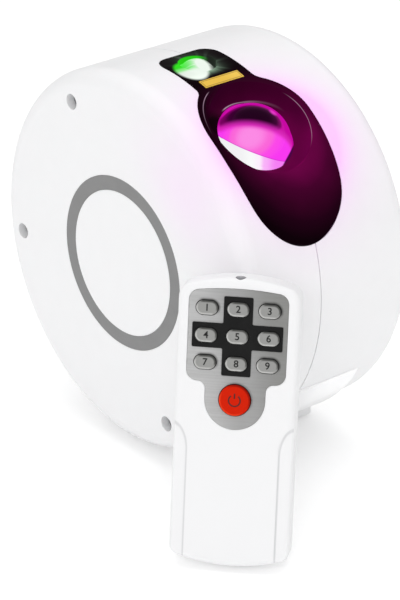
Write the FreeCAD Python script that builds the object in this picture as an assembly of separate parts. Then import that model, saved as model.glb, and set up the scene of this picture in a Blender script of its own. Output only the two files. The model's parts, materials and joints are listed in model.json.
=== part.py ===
import FreeCAD, Part
import math
import os
from FreeCAD import Placement, Rotation, Vector

os.makedirs("parts", exist_ok=True)

# Sizes are millimetres and angles are degrees. The drum lies on its side: its axis is X, the face
# with the ring looks toward -X, the beam leaves toward the front (-Y) and up. Pieces are built
# about the drum's axis, and everything is lifted onto the floor when it is saved.
# An angle round the drum is measured from straight up, toward the front.

# Fits and cutting
fit_gap = 0.12            # between pieces of one body that drop into each other
slide_gap = 0.3           # between curved faces that slide on each other
bearing_gap = 0.05        # round a turning shaft
thread_gap = 0.05         # round a screw in its pilot hole
overrun = 6.0             # how far a cutter passes what it cuts
full_turn = 360.0

# Drum housing, two half shells
drum_radius = 83.0
drum_half_width = 44.2
rim_radius = 7.0
wall = 2.6
drum_lift = 5.0           # floor to the drum's lowest line
seam_x = -7.0             # plane where the half shells meet
seam_groove_width = 0.5
seam_groove_depth = 0.7
lip_reach = 3.0
lip_wall = 1.2
lip_root = 4.0

# Ring let into the face
ring_outer = 38.1
ring_inner = 31.9
ring_depth = 1.0

# Screws that join the half shells
shell_screw_inset = 12.5  # from the drum's outside to the screws' circle
shell_screw_angles = [-27.7, 78.6, 155.8, -97.9]
boss_radius = 4.5
counterbore_radius = 3.4
counterbore_depth = 5.5
shell_screw_head_radius = 2.8
shell_screw_head_height = 2.0
shell_screw_radius = 1.5
shell_screw_clearance = 0.2
shell_screw_grip = 14.0   # how far the screw bites into the far boss
recess_radius = 1.1
recess_depth = 1.0

# Aperture panel, a glossy moulding wrapped on the drum
beam_x = -8.55
beam_angle = 34.0
panel_half_length = 50.5
panel_half_width = 26.1
panel_neck_half_width = 14.65
shoulder_radius = 28.4
shoulder_fillet = 5.0
panel_corner = 6.5
panel_proud = 0.25
panel_seat_depth = 1.8
panel_frame_depth = 4.2   # depth of the thickened wall that carries the panel
panel_frame_rim = 2.0
panel_ledge = 3.0
tip_shares = [(0.965, 0.39), (0.925, 0.555), (0.825, 0.735), (0.62, 0.875), (0.345, 0.965)]
bowl_rim_radius = 23.2
bowl_floor_radius = 19.0
bowl_floor_depth = 11.0   # depths along a beam are counted from the drum's outside
bowl_rim_depth = 1.5
bowl_wall = 1.8
bowl_floor_wall = 2.0
lens_hole_radius = 13.5
bowl_bulge = 0.9          # how far the bowl's wall bows outward between floor and rim

# Laser window in the panel's narrow end
laser_arc = 42.735        # along the drum's outside, from the beam back to the laser
laser_pocket_radius = 8.2
laser_pocket_wall = 1.2
laser_floor_depth = 4.0
laser_floor_wall = 1.6
laser_hole_radius = 4.8
window_flange_height = 0.8
window_dome_radius = 7.3
window_dome_height = 4.4

# Plain strip on the panel
strip_left = -18.8
strip_right = 1.4
strip_start_angle = 13.7
strip_end_angle = 17.0
strip_thickness = 0.2

# Dome lens
lens_shift = 2.4          # from the bowl's centre to the lens, along the drum
lens_flange_radius = 16.4
lens_flange_height = 1.4
lens_dome_radius = 15.7
lens_dome_height = 11.2

# Tilting cradle and foot
cradle_half_width = 19.8
cradle_half_angle = 58.0
cradle_chamfer_angle = 5.5
cradle_lip = 0.4
cradle_edge = 1.0         # thickness where the chamfer ends
cradle_thickness = 2.2
foot_half_length = 32.4
foot_half_width = 29.3
foot_height = 6.0
foot_corner = 2.0
foot_edge = 0.8
pad_thickness = 2.2
pad_proud = 1.0
pad_margin = 4.0
pad_corner = 3.0
stud_x = 6.0              # middle of the cradle, the foot and the tilt stud
stud_radius = 3.8
slot_half_angle = 30.0
slot_side_gap = 0.4
clamp_radius = 8.5
clamp_thickness = 1.6
clamp_clearance = 0.75
clamp_screw_radius = 1.5
clamp_screw_length = 7.0
clamp_screw_head_radius = 3.2
clamp_screw_head_height = 1.7

# Optics frame under the aperture
frame_depth = 23.5
frame_thickness = 2.5
frame_half_width = 20.0
frame_left = -36.0
frame_right_inset = 6.2
lamp_tube_inner = 13.2
lamp_tube_wall = 1.8
lamp_tube_depth = 37.0
light_hole_radius = 9.2
lug_x = 17.5
lug_thickness = 2.5
lug_depth = 35.5
lug_inner_y = 11.5
lug_outer_y = 18.5
post_radius = 3.3
frame_screw_radius = 1.25
frame_screw_length = 9.0
frame_screw_head_radius = 2.4
frame_screw_head_height = 1.6

# Lamp
sink_disc_thickness = 3.0
sink_depth = 33.0
sink_fin_height = 14.0
sink_fin_thickness = 1.4
sink_fin_count = 6
led_board_radius = 12.6
led_board_thickness = 1.6
led_chip_size = 3.2
led_chip_height = 1.1
led_chip_spacing = 4.4
condenser_flange_height = 2.0
condenser_dome_radius = 8.8
condenser_dome_height = 4.6
condenser_back_height = 3.0
condenser_back_radius = 5.0

# Nebula wheel and its drive
gear_module = 0.8
gear_addendum_share = 0.9
gear_dedendum_share = 1.15
gear_root_share = 0.31    # half the tooth's width at its root, as a share of the tooth pitch
gear_tip_share = 0.13
backlash = 0.1
nebula_teeth = 56
nebula_offset = 11.5      # from beam to wheel axis, along the drum
nebula_depth = 21.0       # to the wheel's underside
nebula_thickness = 2.5
hub_radius = 3.2
hub_rise = 1.5
axle_radius = 1.5
axle_collar_radius = 2.6
pinion_teeth = 12
pinion_overlap = 0.5      # how far the pinion stands past the wheel on each side
shaft_radius = 1.0
shaft_depth = 6.0
shaft_room = 1.6          # round a shaft where it passes through a plate
nebula_motor_radius = 6.0
nebula_motor_length = 17.0
motor_flat_share = 0.82

# Laser and star wheel
laser_frame_depth = 21.5
laser_frame_thickness = 2.5
laser_frame_front = 14.0
laser_frame_back = 13.0
laser_frame_left = -20.0
laser_frame_right = 22.0
laser_body_radius = 4.5
laser_body_depth = 38.0
laser_body_length = 24.0
laser_nose_radius = 2.2
laser_nose_height = 1.0
star_teeth = 28
star_offset = 6.5
star_depth = 11.6
star_thickness = 1.8
star_hub_radius = 1.9
star_axle_radius = 1.0
star_collar_radius = 1.7
star_motor_radius = 5.0
star_motor_length = 14.0

# Controls on the upper back of the rear shell
control_angle = -62.8
control_board_depth = 11.4
control_board_thickness = 1.6
control_board_left = -3.6
control_board_inset = 5.2 # from the drum's rear face to the board's end
control_board_half_width = 10.6
control_post_radius = 2.4
control_post_inset = 3.2
button_first_x = 4.0
button_pitch = 9.0
button_count = 3
button_radius = 3.3
button_proud = 0.9
button_flange_radius = 4.1
button_flange_height = 1.0
button_stem_radius = 1.5
switch_size = 6.0
switch_height = 3.4
switch_plunger_radius = 1.7
switch_plunger_height = 0.9
button_travel = 0.8
button_rest_gap = 0.1
jack_inset = 11.6         # from the drum's rear face to the jack's middle
jack_size = 9.0
jack_height = 5.6
jack_bore_radius = 2.8
jack_pin_radius = 1.0
jack_bore_depth = 4.6
jack_recess_radius = 5.0
jack_collar_wall = 1.4

# Driver board on the rear shell's inner face
driver_half_length = 28.0
driver_bottom = -48.0
driver_top = -16.0
driver_standoff = 6.0
driver_thickness = 1.6
driver_post_radius = 3.0
driver_post_inset = 4.0
driver_screw_radius = 1.2
driver_screw_length = 5.5
driver_screw_head_radius = 2.3
driver_screw_head_height = 1.5
chip_length = 10.0
chip_width = 8.0
chip_height = 1.8
capacitor_radius = 3.2
capacitor_height = 9.0
socket_length = 8.0
socket_width = 5.0
socket_height = 6.0

# Infrared receiver behind the panel's tip
receiver_arc = 37.7       # along the drum's outside, from the beam forward to the receiver
receiver_size = 5.2
receiver_depth = 3.6
receiver_board_size = 14.0
receiver_board_thickness = 1.2
receiver_post_radius = 1.4
receiver_post_inset = 2.2
receiver_drop = 6.4       # how far the receiver's board hangs under the panel

# Remote control, leaning on the drum's rim. Its own frame: x right, y into the back, z up.
remote_heading = 48.44
remote_lean = 15.05
remote_aside = 29.6       # from the drum's middle to the remote's, along the remote's width
lean_gap = 0.4            # left between the remote and the drum it leans on
remote_half_width = 24.1
remote_length = 117.0
remote_depth = 16.0
remote_split = 8.0        # depth of the joint between front and back shells
remote_wall = 1.6
remote_lip_width = 0.8
remote_lip_reach = 1.6    # how far the back shell's lip goes into the front shell
remote_top_rise = 4.3
remote_bottom_rise = 4.2
remote_corner = 6.0
remote_bottom_corner = 4.0
remote_front_edge = 2.4
remote_back_edge = 4.5
grip_depth = 0.5
grip_line = 18.3
grip_top = 58.0
grip_bend = 12.0
emitter_radius = 2.1
emitter_depth = 3.0
emitter_length = 4.0
emitter_proud = 0.6

# Shield plate, cross and keys
plate_half_width = 19.7
plate_top_inset = 4.2
plate_top_rise = 1.6
plate_arm_height = 37.5   # from the plate's top to its shoulders
plate_corner = 4.2
plate_fillet = 3.3
plate_thickness = 1.0
plate_proud = 0.15
key_pitch_x = 12.41
key_pitch_z = 10.92
key_row_drop = 29.9       # from the plate's top to the bottom row of keys
key_width = 8.7
key_height = 5.7
key_proud = 0.75
key_gap = 0.3
key_flange = 0.9
key_flange_depth = 0.8
key_travel = 0.6
power_drop = 14.6         # from the bottom row to the round key
power_radius = 6.3
power_proud = 1.2
plate_round_gap = 5.7     # plate beyond the round key
cross_half_bar = 5.8
cross_half_arm = 18.0
cross_half_height = 15.9
cross_half_arm_height = 5.0
cross_corner = 0.6
cross_thickness = 0.25
mat_thickness = 1.0
mat_dome_radius = 2.2
mat_dome_height = 0.5
handset_board_thickness = 1.4
handset_board_half_width = 20.0
handset_board_inset = 9.0 # from the remote's top to the board
handset_board_length = 46.0
board_post_radius = 2.4
board_post_spots_share = [(-0.6, 0.12), (0.6, 0.12), (0.0, 0.88)]

# Battery bay
bay_floor_depth = 3.4
cell_play = 0.35          # round the cells in their bay
cell_end_room = 4.7       # for the contacts at the cells' ends
cell_nub_radius = 1.9
cell_nub_length = 1.0
cell_gap = 0.4
cell_bottom = 13.4
door_bottom = 11.0
door_drop = 3.0           # from the board down to the door
door_half_width = 13.5
door_wall = 1.6
door_pin_radius = 0.6
door_pin_length = 1.1
door_groove_count = 4
door_groove_pitch = 2.2
door_groove_width = 0.9
door_groove_depth = 0.4
door_groove_half_length = 6.0
bay_wall = 1.4
contact_thickness = 0.4
contact_half_width = 4.2
contact_spring_radius = 3.4

# Places that follow from the sizes above
drum_direction = Vector(1, 0, 0)
axis_height = drum_radius + drum_lift
inner_radius = drum_radius - wall
inner_half_width = drum_half_width - wall
panel_outer = drum_radius + panel_proud
panel_inner = drum_radius - panel_seat_depth
optics_x = beam_x + lens_shift
shell_screw_circle = drum_radius - shell_screw_inset
bowl_floor = drum_radius - bowl_floor_depth
bowl_rim = drum_radius - bowl_rim_depth
laser_floor = drum_radius - laser_floor_depth
frame_top = drum_radius - frame_depth
frame_right = drum_half_width - frame_right_inset
lamp_tube_bottom = drum_radius - lamp_tube_depth
lug_bottom = drum_radius - lug_depth
sink_disc_top = drum_radius - sink_depth
nebula_bottom = drum_radius - nebula_depth
laser_frame_top = drum_radius - laser_frame_depth
laser_body_bottom = drum_radius - laser_body_depth
laser_body_top = laser_body_bottom + laser_body_length
star_bottom = drum_radius - star_depth
control_board_top = drum_radius - control_board_depth
control_board_right = drum_half_width - control_board_inset
jack_x = drum_half_width - jack_inset
laser_angle = beam_angle - math.degrees(laser_arc / drum_radius)
receiver_angle = beam_angle + math.degrees(receiver_arc / drum_radius)
plate_top = remote_length - plate_top_inset
plate_shoulder = plate_top - plate_arm_height
key_bottom_row = plate_top - key_row_drop
handset_board_top = remote_length - handset_board_inset
handset_board_bottom = handset_board_top - handset_board_length
door_length = handset_board_bottom - door_drop - door_bottom
cell_length = door_length - cell_end_room
cell_radius = (remote_depth - door_wall - bay_floor_depth) / 2 - cell_play


def line(start, end):
    return Part.LineSegment(start, end).toShape()


def arc(start, middle, end):
    return Part.Arc(start, middle, end).toShape()


def face_of(points):
    return Part.Face(Part.makePolygon(points + [points[0]]))


def disc(radius, bottom, top, x=0.0, y=0.0):
    return Part.makeCylinder(radius, top - bottom, Vector(x, y, bottom))


def tube(outer, inner, bottom, top, x=0.0, y=0.0):
    return disc(outer, bottom, top, x, y).cut(disc(inner, bottom - overrun, top + overrun, x, y))


def block(x_from, x_to, y_from, y_to, z_from, z_to):
    return Part.makeBox(x_to - x_from, y_to - y_from, z_to - z_from, Vector(x_from, y_from, z_from))


def turned(profile):
    # A body turned about Z from (radius, height) points.
    face = face_of([Vector(radius, 0, height) for radius, height in profile])
    return face.revolve(Vector(), Vector(0, 0, 1), full_turn)


def drum_turned(profile):
    # A body turned about the drum's axis from (x, radius) points.
    face = face_of([Vector(x, 0, radius) for x, radius in profile])
    return face.revolve(Vector(), drum_direction, full_turn)


def drum_bar(radius, x_from, x_to):
    return Part.makeCylinder(radius, x_to - x_from, Vector(x_from, 0, 0), drum_direction)


def drum_tube(outer, inner, x_from, x_to):
    return drum_bar(outer, x_from, x_to).cut(drum_bar(inner, x_from - overrun, x_to + overrun))


def out_at(shape, angle, x=0.0):
    # Turns a shape built about Z so that Z points out of the drum at an angle.
    spot = Placement(Vector(x, 0, 0), Rotation(drum_direction, angle))
    shape.Placement = spot.multiply(shape.Placement)
    return shape


def on_circle(radius, angle, x=0.0):
    turn = math.radians(angle)
    return Vector(x, -radius * math.sin(turn), radius * math.cos(turn))


def capped(base_radius, height, bottom):
    # A spherical cap that stands on a flat base.
    sphere_radius = (base_radius ** 2 + height ** 2) / (2 * height)
    sphere = Part.makeSphere(sphere_radius, Vector(0, 0, bottom + height - sphere_radius))
    return sphere.common(disc(base_radius, bottom, bottom + height + overrun))


def screw(base, direction, radius, length, head_radius, head_height):
    # A pan head screw: base is the underside of its head, direction points along its shank.
    back = direction * -1
    shank = Part.makeCylinder(radius, length, base, direction)
    head = Part.makeCylinder(head_radius, head_height, base, back)
    top = base + back * head_height
    recess = Part.makeCone(recess_radius, recess_radius / 2, recess_depth, top, direction)
    return shank.fuse(head).cut(recess)


def gear(teeth, bottom, top, bore):
    # A spur gear whose first tooth points along +X.
    pitch_radius = gear_module * teeth / 2
    tip = pitch_radius + gear_module * gear_addendum_share
    root = pitch_radius - gear_module * gear_dedendum_share
    step = full_turn / teeth
    points = []
    for tooth in range(teeth):
        centre = tooth * step
        corners = [(root, -gear_root_share), (tip, -gear_tip_share),
                   (tip, gear_tip_share), (root, gear_root_share)]
        for radius, share in corners:
            turn = math.radians(centre + share * step)
            points.append(Vector(radius * math.cos(turn), radius * math.sin(turn), bottom))
    blank = face_of(points).extrude(Vector(0, 0, top - bottom))
    return blank.cut(disc(bore, bottom - overrun, top + overrun))


def pitch_radius_of(teeth):
    return gear_module * teeth / 2


def half_drum(radius, face_x, corner, start_x):
    # Half of a round drum: open flat at start_x, with a rounded rim at face_x.
    side = math.copysign(1, face_x - start_x)
    turn = corner * (1 - math.sqrt(0.5))
    wall_end = Vector(face_x - side * corner, 0, radius)
    rim_end = Vector(face_x, 0, radius - corner)
    middle = Vector(face_x - side * turn, 0, radius - turn)
    edges = [line(Vector(start_x, 0, 0), Vector(start_x, 0, radius)),
             line(Vector(start_x, 0, radius), wall_end),
             arc(wall_end, middle, rim_end),
             line(rim_end, Vector(face_x, 0, 0)),
             line(Vector(face_x, 0, 0), Vector(start_x, 0, 0))]
    return Part.Face(Part.Wire(edges)).revolve(Vector(), drum_direction, full_turn)


def panel_prism(grow, bottom, top):
    # The panel's outline grown by a margin and extruded along the beam. Forward is local -Y.
    half_width = panel_half_width + grow
    neck = panel_neck_half_width + grow
    half_length = panel_half_length + grow
    round_radius = shoulder_radius + grow
    across = half_width - round_radius
    neck_back = math.sqrt(round_radius ** 2 - (neck - across) ** 2)
    half_turn = math.atan2(neck_back, neck - across) / 2
    middle_x = across + round_radius * math.cos(half_turn)
    middle_y = round_radius * math.sin(half_turn)

    def at(x, y):
        return Vector(x, y, bottom)

    right = [at(share_x * half_width, -share_y * half_length) for share_x, share_y in tip_shares]
    left = [at(-point.x, point.y) for point in reversed(right)]
    tip = Part.BSplineCurve()
    points = [at(half_width, 0)] + right + [at(0, -half_length)] + left + [at(-half_width, 0)]
    tip.interpolate(Points=points, InitialTangent=Vector(0, -1, 0), FinalTangent=Vector(0, 1, 0))
    edges = [line(at(-neck, half_length), at(neck, half_length)),
             line(at(neck, half_length), at(neck, neck_back)),
             arc(at(neck, neck_back), at(middle_x, middle_y), at(half_width, 0)),
             tip.toShape(),
             arc(at(-half_width, 0), at(-middle_x, middle_y), at(-neck, neck_back)),
             line(at(-neck, neck_back), at(-neck, half_length))]
    prism = Part.Face(Part.Wire(edges)).extrude(Vector(0, 0, top - bottom))

    def standing(y):
        return [edge for edge in prism.Edges
                if abs(edge.BoundBox.ZLength - (top - bottom)) < fit_gap
                and abs(abs(edge.CenterOfMass.x) - neck) < fit_gap
                and abs(edge.CenterOfMass.y - y) < fit_gap]

    corners = standing(half_length)
    prism = prism.makeFillet(panel_corner + grow, corners)
    shoulders = standing(neck_back)
    prism = prism.makeFillet(shoulder_fillet - grow, shoulders)
    return out_at(prism, beam_angle, beam_x)


def arc_block(inner, outer, half_width, half_angle, x=0.0):
    # A curved bar round the drum's underside, centred on straight down.
    section = face_of([Vector(x - half_width, 0, -inner), Vector(x + half_width, 0, -inner),
                       Vector(x + half_width, 0, -outer), Vector(x - half_width, 0, -outer)])
    section.rotate(Vector(), drum_direction, -half_angle)
    return section.revolve(Vector(), drum_direction, 2 * half_angle)


def through_opening():
    # The way through the shells under the panel, with room for the bowl and the laser pocket.
    bottom = frame_top
    top = drum_radius + overrun
    opening = panel_prism(-panel_ledge, bottom, top)
    bowl_room = bowl_rim_radius + bowl_wall + bowl_bulge + fit_gap
    pocket_room = laser_pocket_radius + laser_pocket_wall + fit_gap
    opening = opening.fuse(out_at(disc(bowl_room, bottom, top), beam_angle, beam_x))
    return opening.fuse(out_at(disc(pocket_room, bottom, top), laser_angle, beam_x))


def panel_seat():
    prism = panel_prism(fit_gap, frame_top, drum_radius + overrun)
    ring = drum_tube(drum_radius + overrun, panel_inner, -drum_half_width, drum_half_width)
    return prism.common(ring)


def panel_frame(x_from, x_to):
    # The thickened wall round the opening, under the panel's edge.
    outline = panel_prism(panel_frame_rim, frame_top, drum_radius + overrun)
    band = drum_tube(inner_radius + wall / 2, drum_radius - panel_frame_depth, x_from, x_to)
    return outline.common(band)


def shell_bosses(x_from, x_to):
    bosses = []
    for angle in shell_screw_angles:
        spot = on_circle(shell_screw_circle, angle, x_from)
        bosses.append(Part.makeCylinder(boss_radius, x_to - x_from, spot, drum_direction))
    return bosses


def bores_at_bosses(radius, x_from, x_to):
    bores = []
    for angle in shell_screw_angles:
        spot = on_circle(shell_screw_circle, angle, x_from)
        bores.append(Part.makeCylinder(radius, x_to - x_from, spot, drum_direction))
    return bores


def tilt_slot():
    # The arc slot that the cradle's stud travels in.
    return arc_block(inner_radius - overrun, drum_radius + overrun, stud_radius + slot_side_gap,
                     slot_half_angle, stud_x)


def ring_shell():
    shell = half_drum(drum_radius, -drum_half_width, rim_radius, seam_x)
    shell = shell.cut(half_drum(inner_radius, -inner_half_width, rim_radius - wall, seam_x + overrun))
    shell = shell.fuse([panel_frame(-inner_half_width, seam_x)] + shell_bosses(-inner_half_width, seam_x))
    groove = drum_tube(ring_outer + fit_gap, ring_inner - fit_gap, -drum_half_width - overrun,
                       -drum_half_width + ring_depth)
    head_room = bores_at_bosses(counterbore_radius, -drum_half_width - overrun,
                                -drum_half_width + counterbore_depth)
    shank_room = bores_at_bosses(shell_screw_radius + shell_screw_clearance, -drum_half_width,
                                 seam_x + overrun)
    return shell.cut([groove, panel_seat(), through_opening()] + head_room + shank_room)


def control_posts():
    posts = []
    for x in (control_board_left + control_post_inset, control_board_right - control_post_inset):
        for side in (-1, 1):
            y = side * (control_board_half_width - control_post_inset)
            post = disc(control_post_radius, control_board_top, inner_radius + wall / 2, x, y)
            posts.append(out_at(post, control_angle))
    return posts


def driver_posts():
    posts = []
    for y in (-driver_half_length + driver_post_inset, driver_half_length - driver_post_inset):
        for z in (driver_bottom + driver_post_inset, driver_top - driver_post_inset):
            spot = Vector(inner_half_width - driver_standoff, y, z)
            length = driver_standoff + wall / 2
            posts.append(Part.makeCylinder(driver_post_radius, length, spot, drum_direction))
    return posts


def driver_screw_spots(x):
    return [Vector(x, y, z)
            for y in (-driver_half_length + driver_post_inset, driver_half_length - driver_post_inset)
            for z in (driver_bottom + driver_post_inset, driver_top - driver_post_inset)]


def frame_post_spots(x):
    middle_y = (lug_inner_y + lug_outer_y) / 2
    height = lug_bottom + post_radius
    turn = Rotation(drum_direction, beam_angle)
    return [Vector(x, 0, 0) + turn.multVec(Vector(0, side * middle_y, height)) for side in (-1, 1)]


def frame_posts():
    start = lug_x + lug_thickness
    length = inner_half_width + wall / 2 - start
    return [Part.makeCylinder(post_radius, length, spot, drum_direction)
            for spot in frame_post_spots(start)]


def button_places():
    return [button_first_x + number * button_pitch for number in range(button_count)]


def rear_shell():
    shell = half_drum(drum_radius, drum_half_width, rim_radius, seam_x)
    shell = shell.cut(half_drum(inner_radius, inner_half_width, rim_radius - wall, seam_x - overrun))
    lip_outer = inner_radius - fit_gap
    lip = drum_turned([(seam_x - lip_reach, lip_outer - lip_wall), (seam_x - lip_reach, lip_outer),
                       (seam_x, lip_outer), (seam_x, inner_radius + wall / 2),
                       (seam_x + lip_root, inner_radius + wall / 2),
                       (seam_x + lip_root, lip_outer - lip_wall)])
    boss_room = bores_at_bosses(boss_radius + fit_gap, seam_x - lip_reach - overrun, seam_x)
    panel_room = panel_prism(panel_frame_rim + fit_gap, frame_top, drum_radius + overrun)
    lip = lip.cut(boss_room + [panel_room])
    collar = disc(jack_recess_radius + jack_collar_wall, control_board_top + jack_height + fit_gap,
                  inner_radius + wall / 2, jack_x)
    additions = [lip, panel_frame(seam_x, inner_half_width), out_at(collar, control_angle)]
    additions += shell_bosses(seam_x, inner_half_width) + control_posts() + driver_posts() + frame_posts()
    shell = shell.fuse(additions)
    reveal = drum_tube(drum_radius + overrun, drum_radius - seam_groove_depth, seam_x - overrun,
                       seam_x + seam_groove_width)
    pilot = bores_at_bosses(shell_screw_radius + thread_gap, seam_x - overrun, seam_x + shell_screw_grip)
    jack_recess = disc(jack_recess_radius, control_board_top + jack_height, drum_radius + overrun, jack_x)
    cutters = [reveal, panel_seat(), through_opening(), tilt_slot(), out_at(jack_recess, control_angle)]
    cutters += pilot
    for x in button_places():
        hole = disc(button_radius + slide_gap, inner_radius - overrun, drum_radius + overrun, x)
        cutters.append(out_at(hole, control_angle))
    for spot in frame_post_spots(lug_x):
        cutters.append(Part.makeCylinder(frame_screw_radius + thread_gap, frame_screw_length + thread_gap,
                                         spot, drum_direction))
    for spot in driver_screw_spots(inner_half_width - driver_standoff - driver_thickness):
        cutters.append(Part.makeCylinder(driver_screw_radius + thread_gap, driver_screw_length + thread_gap,
                                         spot, drum_direction))
    return shell.cut(cutters)


def face_ring():
    return drum_tube(ring_outer, ring_inner, -drum_half_width, -drum_half_width + ring_depth)


def shell_screws():
    seat = -drum_half_width + counterbore_depth
    length = seam_x + shell_screw_grip - seat
    return Part.makeCompound([screw(on_circle(shell_screw_circle, angle, seat), drum_direction,
                                    shell_screw_radius, length, shell_screw_head_radius,
                                    shell_screw_head_height) for angle in shell_screw_angles])


def bowl(floor_radius, rim_radius_here, floor, rim, top):
    # A round bowl space along the beam, with a wall that bows outward, open at the top.
    start = Vector(floor_radius, 0, floor)
    end = Vector(rim_radius_here, 0, rim)
    middle = (start + end) * 0.5 + Vector(bowl_bulge, 0, 0)
    edges = [line(Vector(0, 0, floor), start), arc(start, middle, end),
             line(end, Vector(rim_radius_here, 0, top)),
             line(Vector(rim_radius_here, 0, top), Vector(0, 0, top)),
             line(Vector(0, 0, top), Vector(0, 0, floor))]
    return Part.Face(Part.Wire(edges)).revolve(Vector(), Vector(0, 0, 1), full_turn)


def aperture_panel():
    top = drum_radius + overrun
    sheet = panel_prism(-fit_gap, frame_top, top)
    sheet = sheet.common(drum_tube(panel_outer, panel_inner, -drum_half_width, drum_half_width))
    outside = drum_bar(panel_outer, -drum_half_width, drum_half_width)
    cup = bowl(bowl_floor_radius + bowl_wall, bowl_rim_radius + bowl_wall, bowl_floor - bowl_floor_wall,
               bowl_rim, top)
    cup = out_at(cup, beam_angle, beam_x).common(outside)
    pocket = disc(laser_pocket_radius + laser_pocket_wall, laser_floor - laser_floor_wall, top)
    pocket = out_at(pocket, laser_angle, beam_x).common(outside)
    panel = sheet.fuse([cup, pocket])
    for side in (-1, 1):
        spot = side * (receiver_board_size / 2 - receiver_post_inset)
        post = disc(receiver_post_radius, panel_inner - receiver_drop,
                    panel_inner + panel_seat_depth / 2, spot)
        panel = panel.fuse(out_at(post, receiver_angle, beam_x))
    bowl_space = bowl(bowl_floor_radius, bowl_rim_radius, bowl_floor, bowl_rim, top + overrun)
    bowl_space = bowl_space.fuse(disc(lens_hole_radius, frame_top, bowl_floor + overrun, lens_shift))
    laser_space = disc(laser_pocket_radius, laser_floor, top + overrun)
    laser_space = laser_space.fuse(disc(laser_hole_radius, frame_top, laser_floor + overrun))
    panel = panel.cut([out_at(bowl_space, beam_angle, beam_x), out_at(laser_space, laser_angle, beam_x)])
    return panel


def aperture_strip():
    # A plain thin strip, curved on the panel between its two openings.
    band = drum_tube(panel_outer + strip_thickness, panel_outer, strip_left, strip_right)
    corners = [Vector(strip_left, 0, 0)]
    for angle in (strip_start_angle, strip_end_angle):
        corners.append(on_circle(drum_radius + overrun, angle, strip_left))
    wedge = face_of(corners).extrude(Vector(strip_right - strip_left, 0, 0))
    return band.common(wedge)


def dome_lens():
    flange = disc(lens_flange_radius, bowl_floor, bowl_floor + lens_flange_height)
    dome = capped(lens_dome_radius, lens_dome_height, bowl_floor + lens_flange_height)
    return out_at(flange.fuse(dome), beam_angle, optics_x)


def laser_window():
    flange = disc(laser_pocket_radius - fit_gap, laser_floor, laser_floor + window_flange_height)
    dome = capped(window_dome_radius, window_dome_height, laser_floor + window_flange_height)
    return out_at(flange.fuse(dome), laser_angle, beam_x)


def cradle_profile():
    # Cross-section of the curved plate that the drum lies in, seen along the drum's axis.
    inner = drum_radius + slide_gap
    outer = inner + cradle_thickness
    down = 180.0
    front = down - cradle_half_angle
    back = down + cradle_half_angle
    front_edge = on_circle(inner + cradle_edge, front + cradle_chamfer_angle)
    back_edge = on_circle(inner + cradle_edge, back - cradle_chamfer_angle)
    edges = [arc(on_circle(inner, front), on_circle(inner, down), on_circle(inner, back)),
             line(on_circle(inner, back), on_circle(inner + cradle_lip, back)),
             line(on_circle(inner + cradle_lip, back), back_edge),
             arc(back_edge, on_circle(outer, down), front_edge),
             line(front_edge, on_circle(inner + cradle_lip, front)),
             line(on_circle(inner + cradle_lip, front), on_circle(inner, front))]
    return Part.Face(Part.Wire(edges))


def foot_cradle():
    plate = cradle_profile().extrude(Vector(2 * cradle_half_width, 0, 0))
    plate.translate(Vector(stud_x - cradle_half_width, 0, 0))
    floor = -axis_height
    base = block(stud_x - foot_half_length, stud_x + foot_half_length, -foot_half_width, foot_half_width,
                 floor + pad_proud, floor + foot_height)
    upright = [edge for edge in base.Edges if edge.BoundBox.ZLength > pad_proud]
    base = base.makeFillet(foot_corner, upright)
    lower = [edge for edge in base.Edges if abs(edge.BoundBox.ZMax - (floor + pad_proud)) < fit_gap]
    base = base.makeFillet(foot_edge, lower)
    base = base.cut(drum_bar(drum_radius + slide_gap, -drum_half_width, drum_half_width))
    pad_room = foot_pad_blank(fit_gap)
    stud_top = -(inner_radius - clamp_clearance)
    stud = Part.makeCylinder(stud_radius, stud_top + drum_radius + slide_gap + cradle_thickness,
                             Vector(stud_x, 0, -drum_radius - slide_gap - cradle_thickness))
    foot = plate.fuse([base, stud]).cut(pad_room)
    pilot_depth = clamp_screw_length - clamp_thickness + thread_gap
    pilot = Part.makeCylinder(clamp_screw_radius + thread_gap, pilot_depth, Vector(stud_x, 0, stud_top),
                              Vector(0, 0, -1))
    return foot.cut(pilot)


def foot_pad_blank(grow):
    floor = -axis_height
    half_length = foot_half_length - pad_margin + grow
    half_width = foot_half_width - pad_margin + grow
    pad = block(stud_x - half_length, stud_x + half_length, -half_width, half_width,
                floor, floor + pad_thickness)
    upright = [edge for edge in pad.Edges if edge.BoundBox.ZLength > pad_proud]
    return pad.makeFillet(pad_corner + grow, upright)


def foot_pad():
    return foot_pad_blank(0)


def clamp_washer():
    seat = -(inner_radius - clamp_clearance)
    washer = disc(clamp_radius, seat, seat + clamp_thickness, stud_x)
    return washer.cut(disc(clamp_screw_radius + thread_gap, seat - overrun, seat + overrun, stud_x))


def clamp_screw():
    top = -(inner_radius - clamp_clearance) + clamp_thickness
    return screw(Vector(stud_x, 0, top), Vector(0, 0, -1), clamp_screw_radius, clamp_screw_length,
                 clamp_screw_head_radius, clamp_screw_head_height)


def nebula_pinion_x():
    return nebula_offset + pitch_radius_of(nebula_teeth) + pitch_radius_of(pinion_teeth) + backlash


def star_pinion_x():
    return star_offset + pitch_radius_of(star_teeth) + pitch_radius_of(pinion_teeth) + backlash


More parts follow.
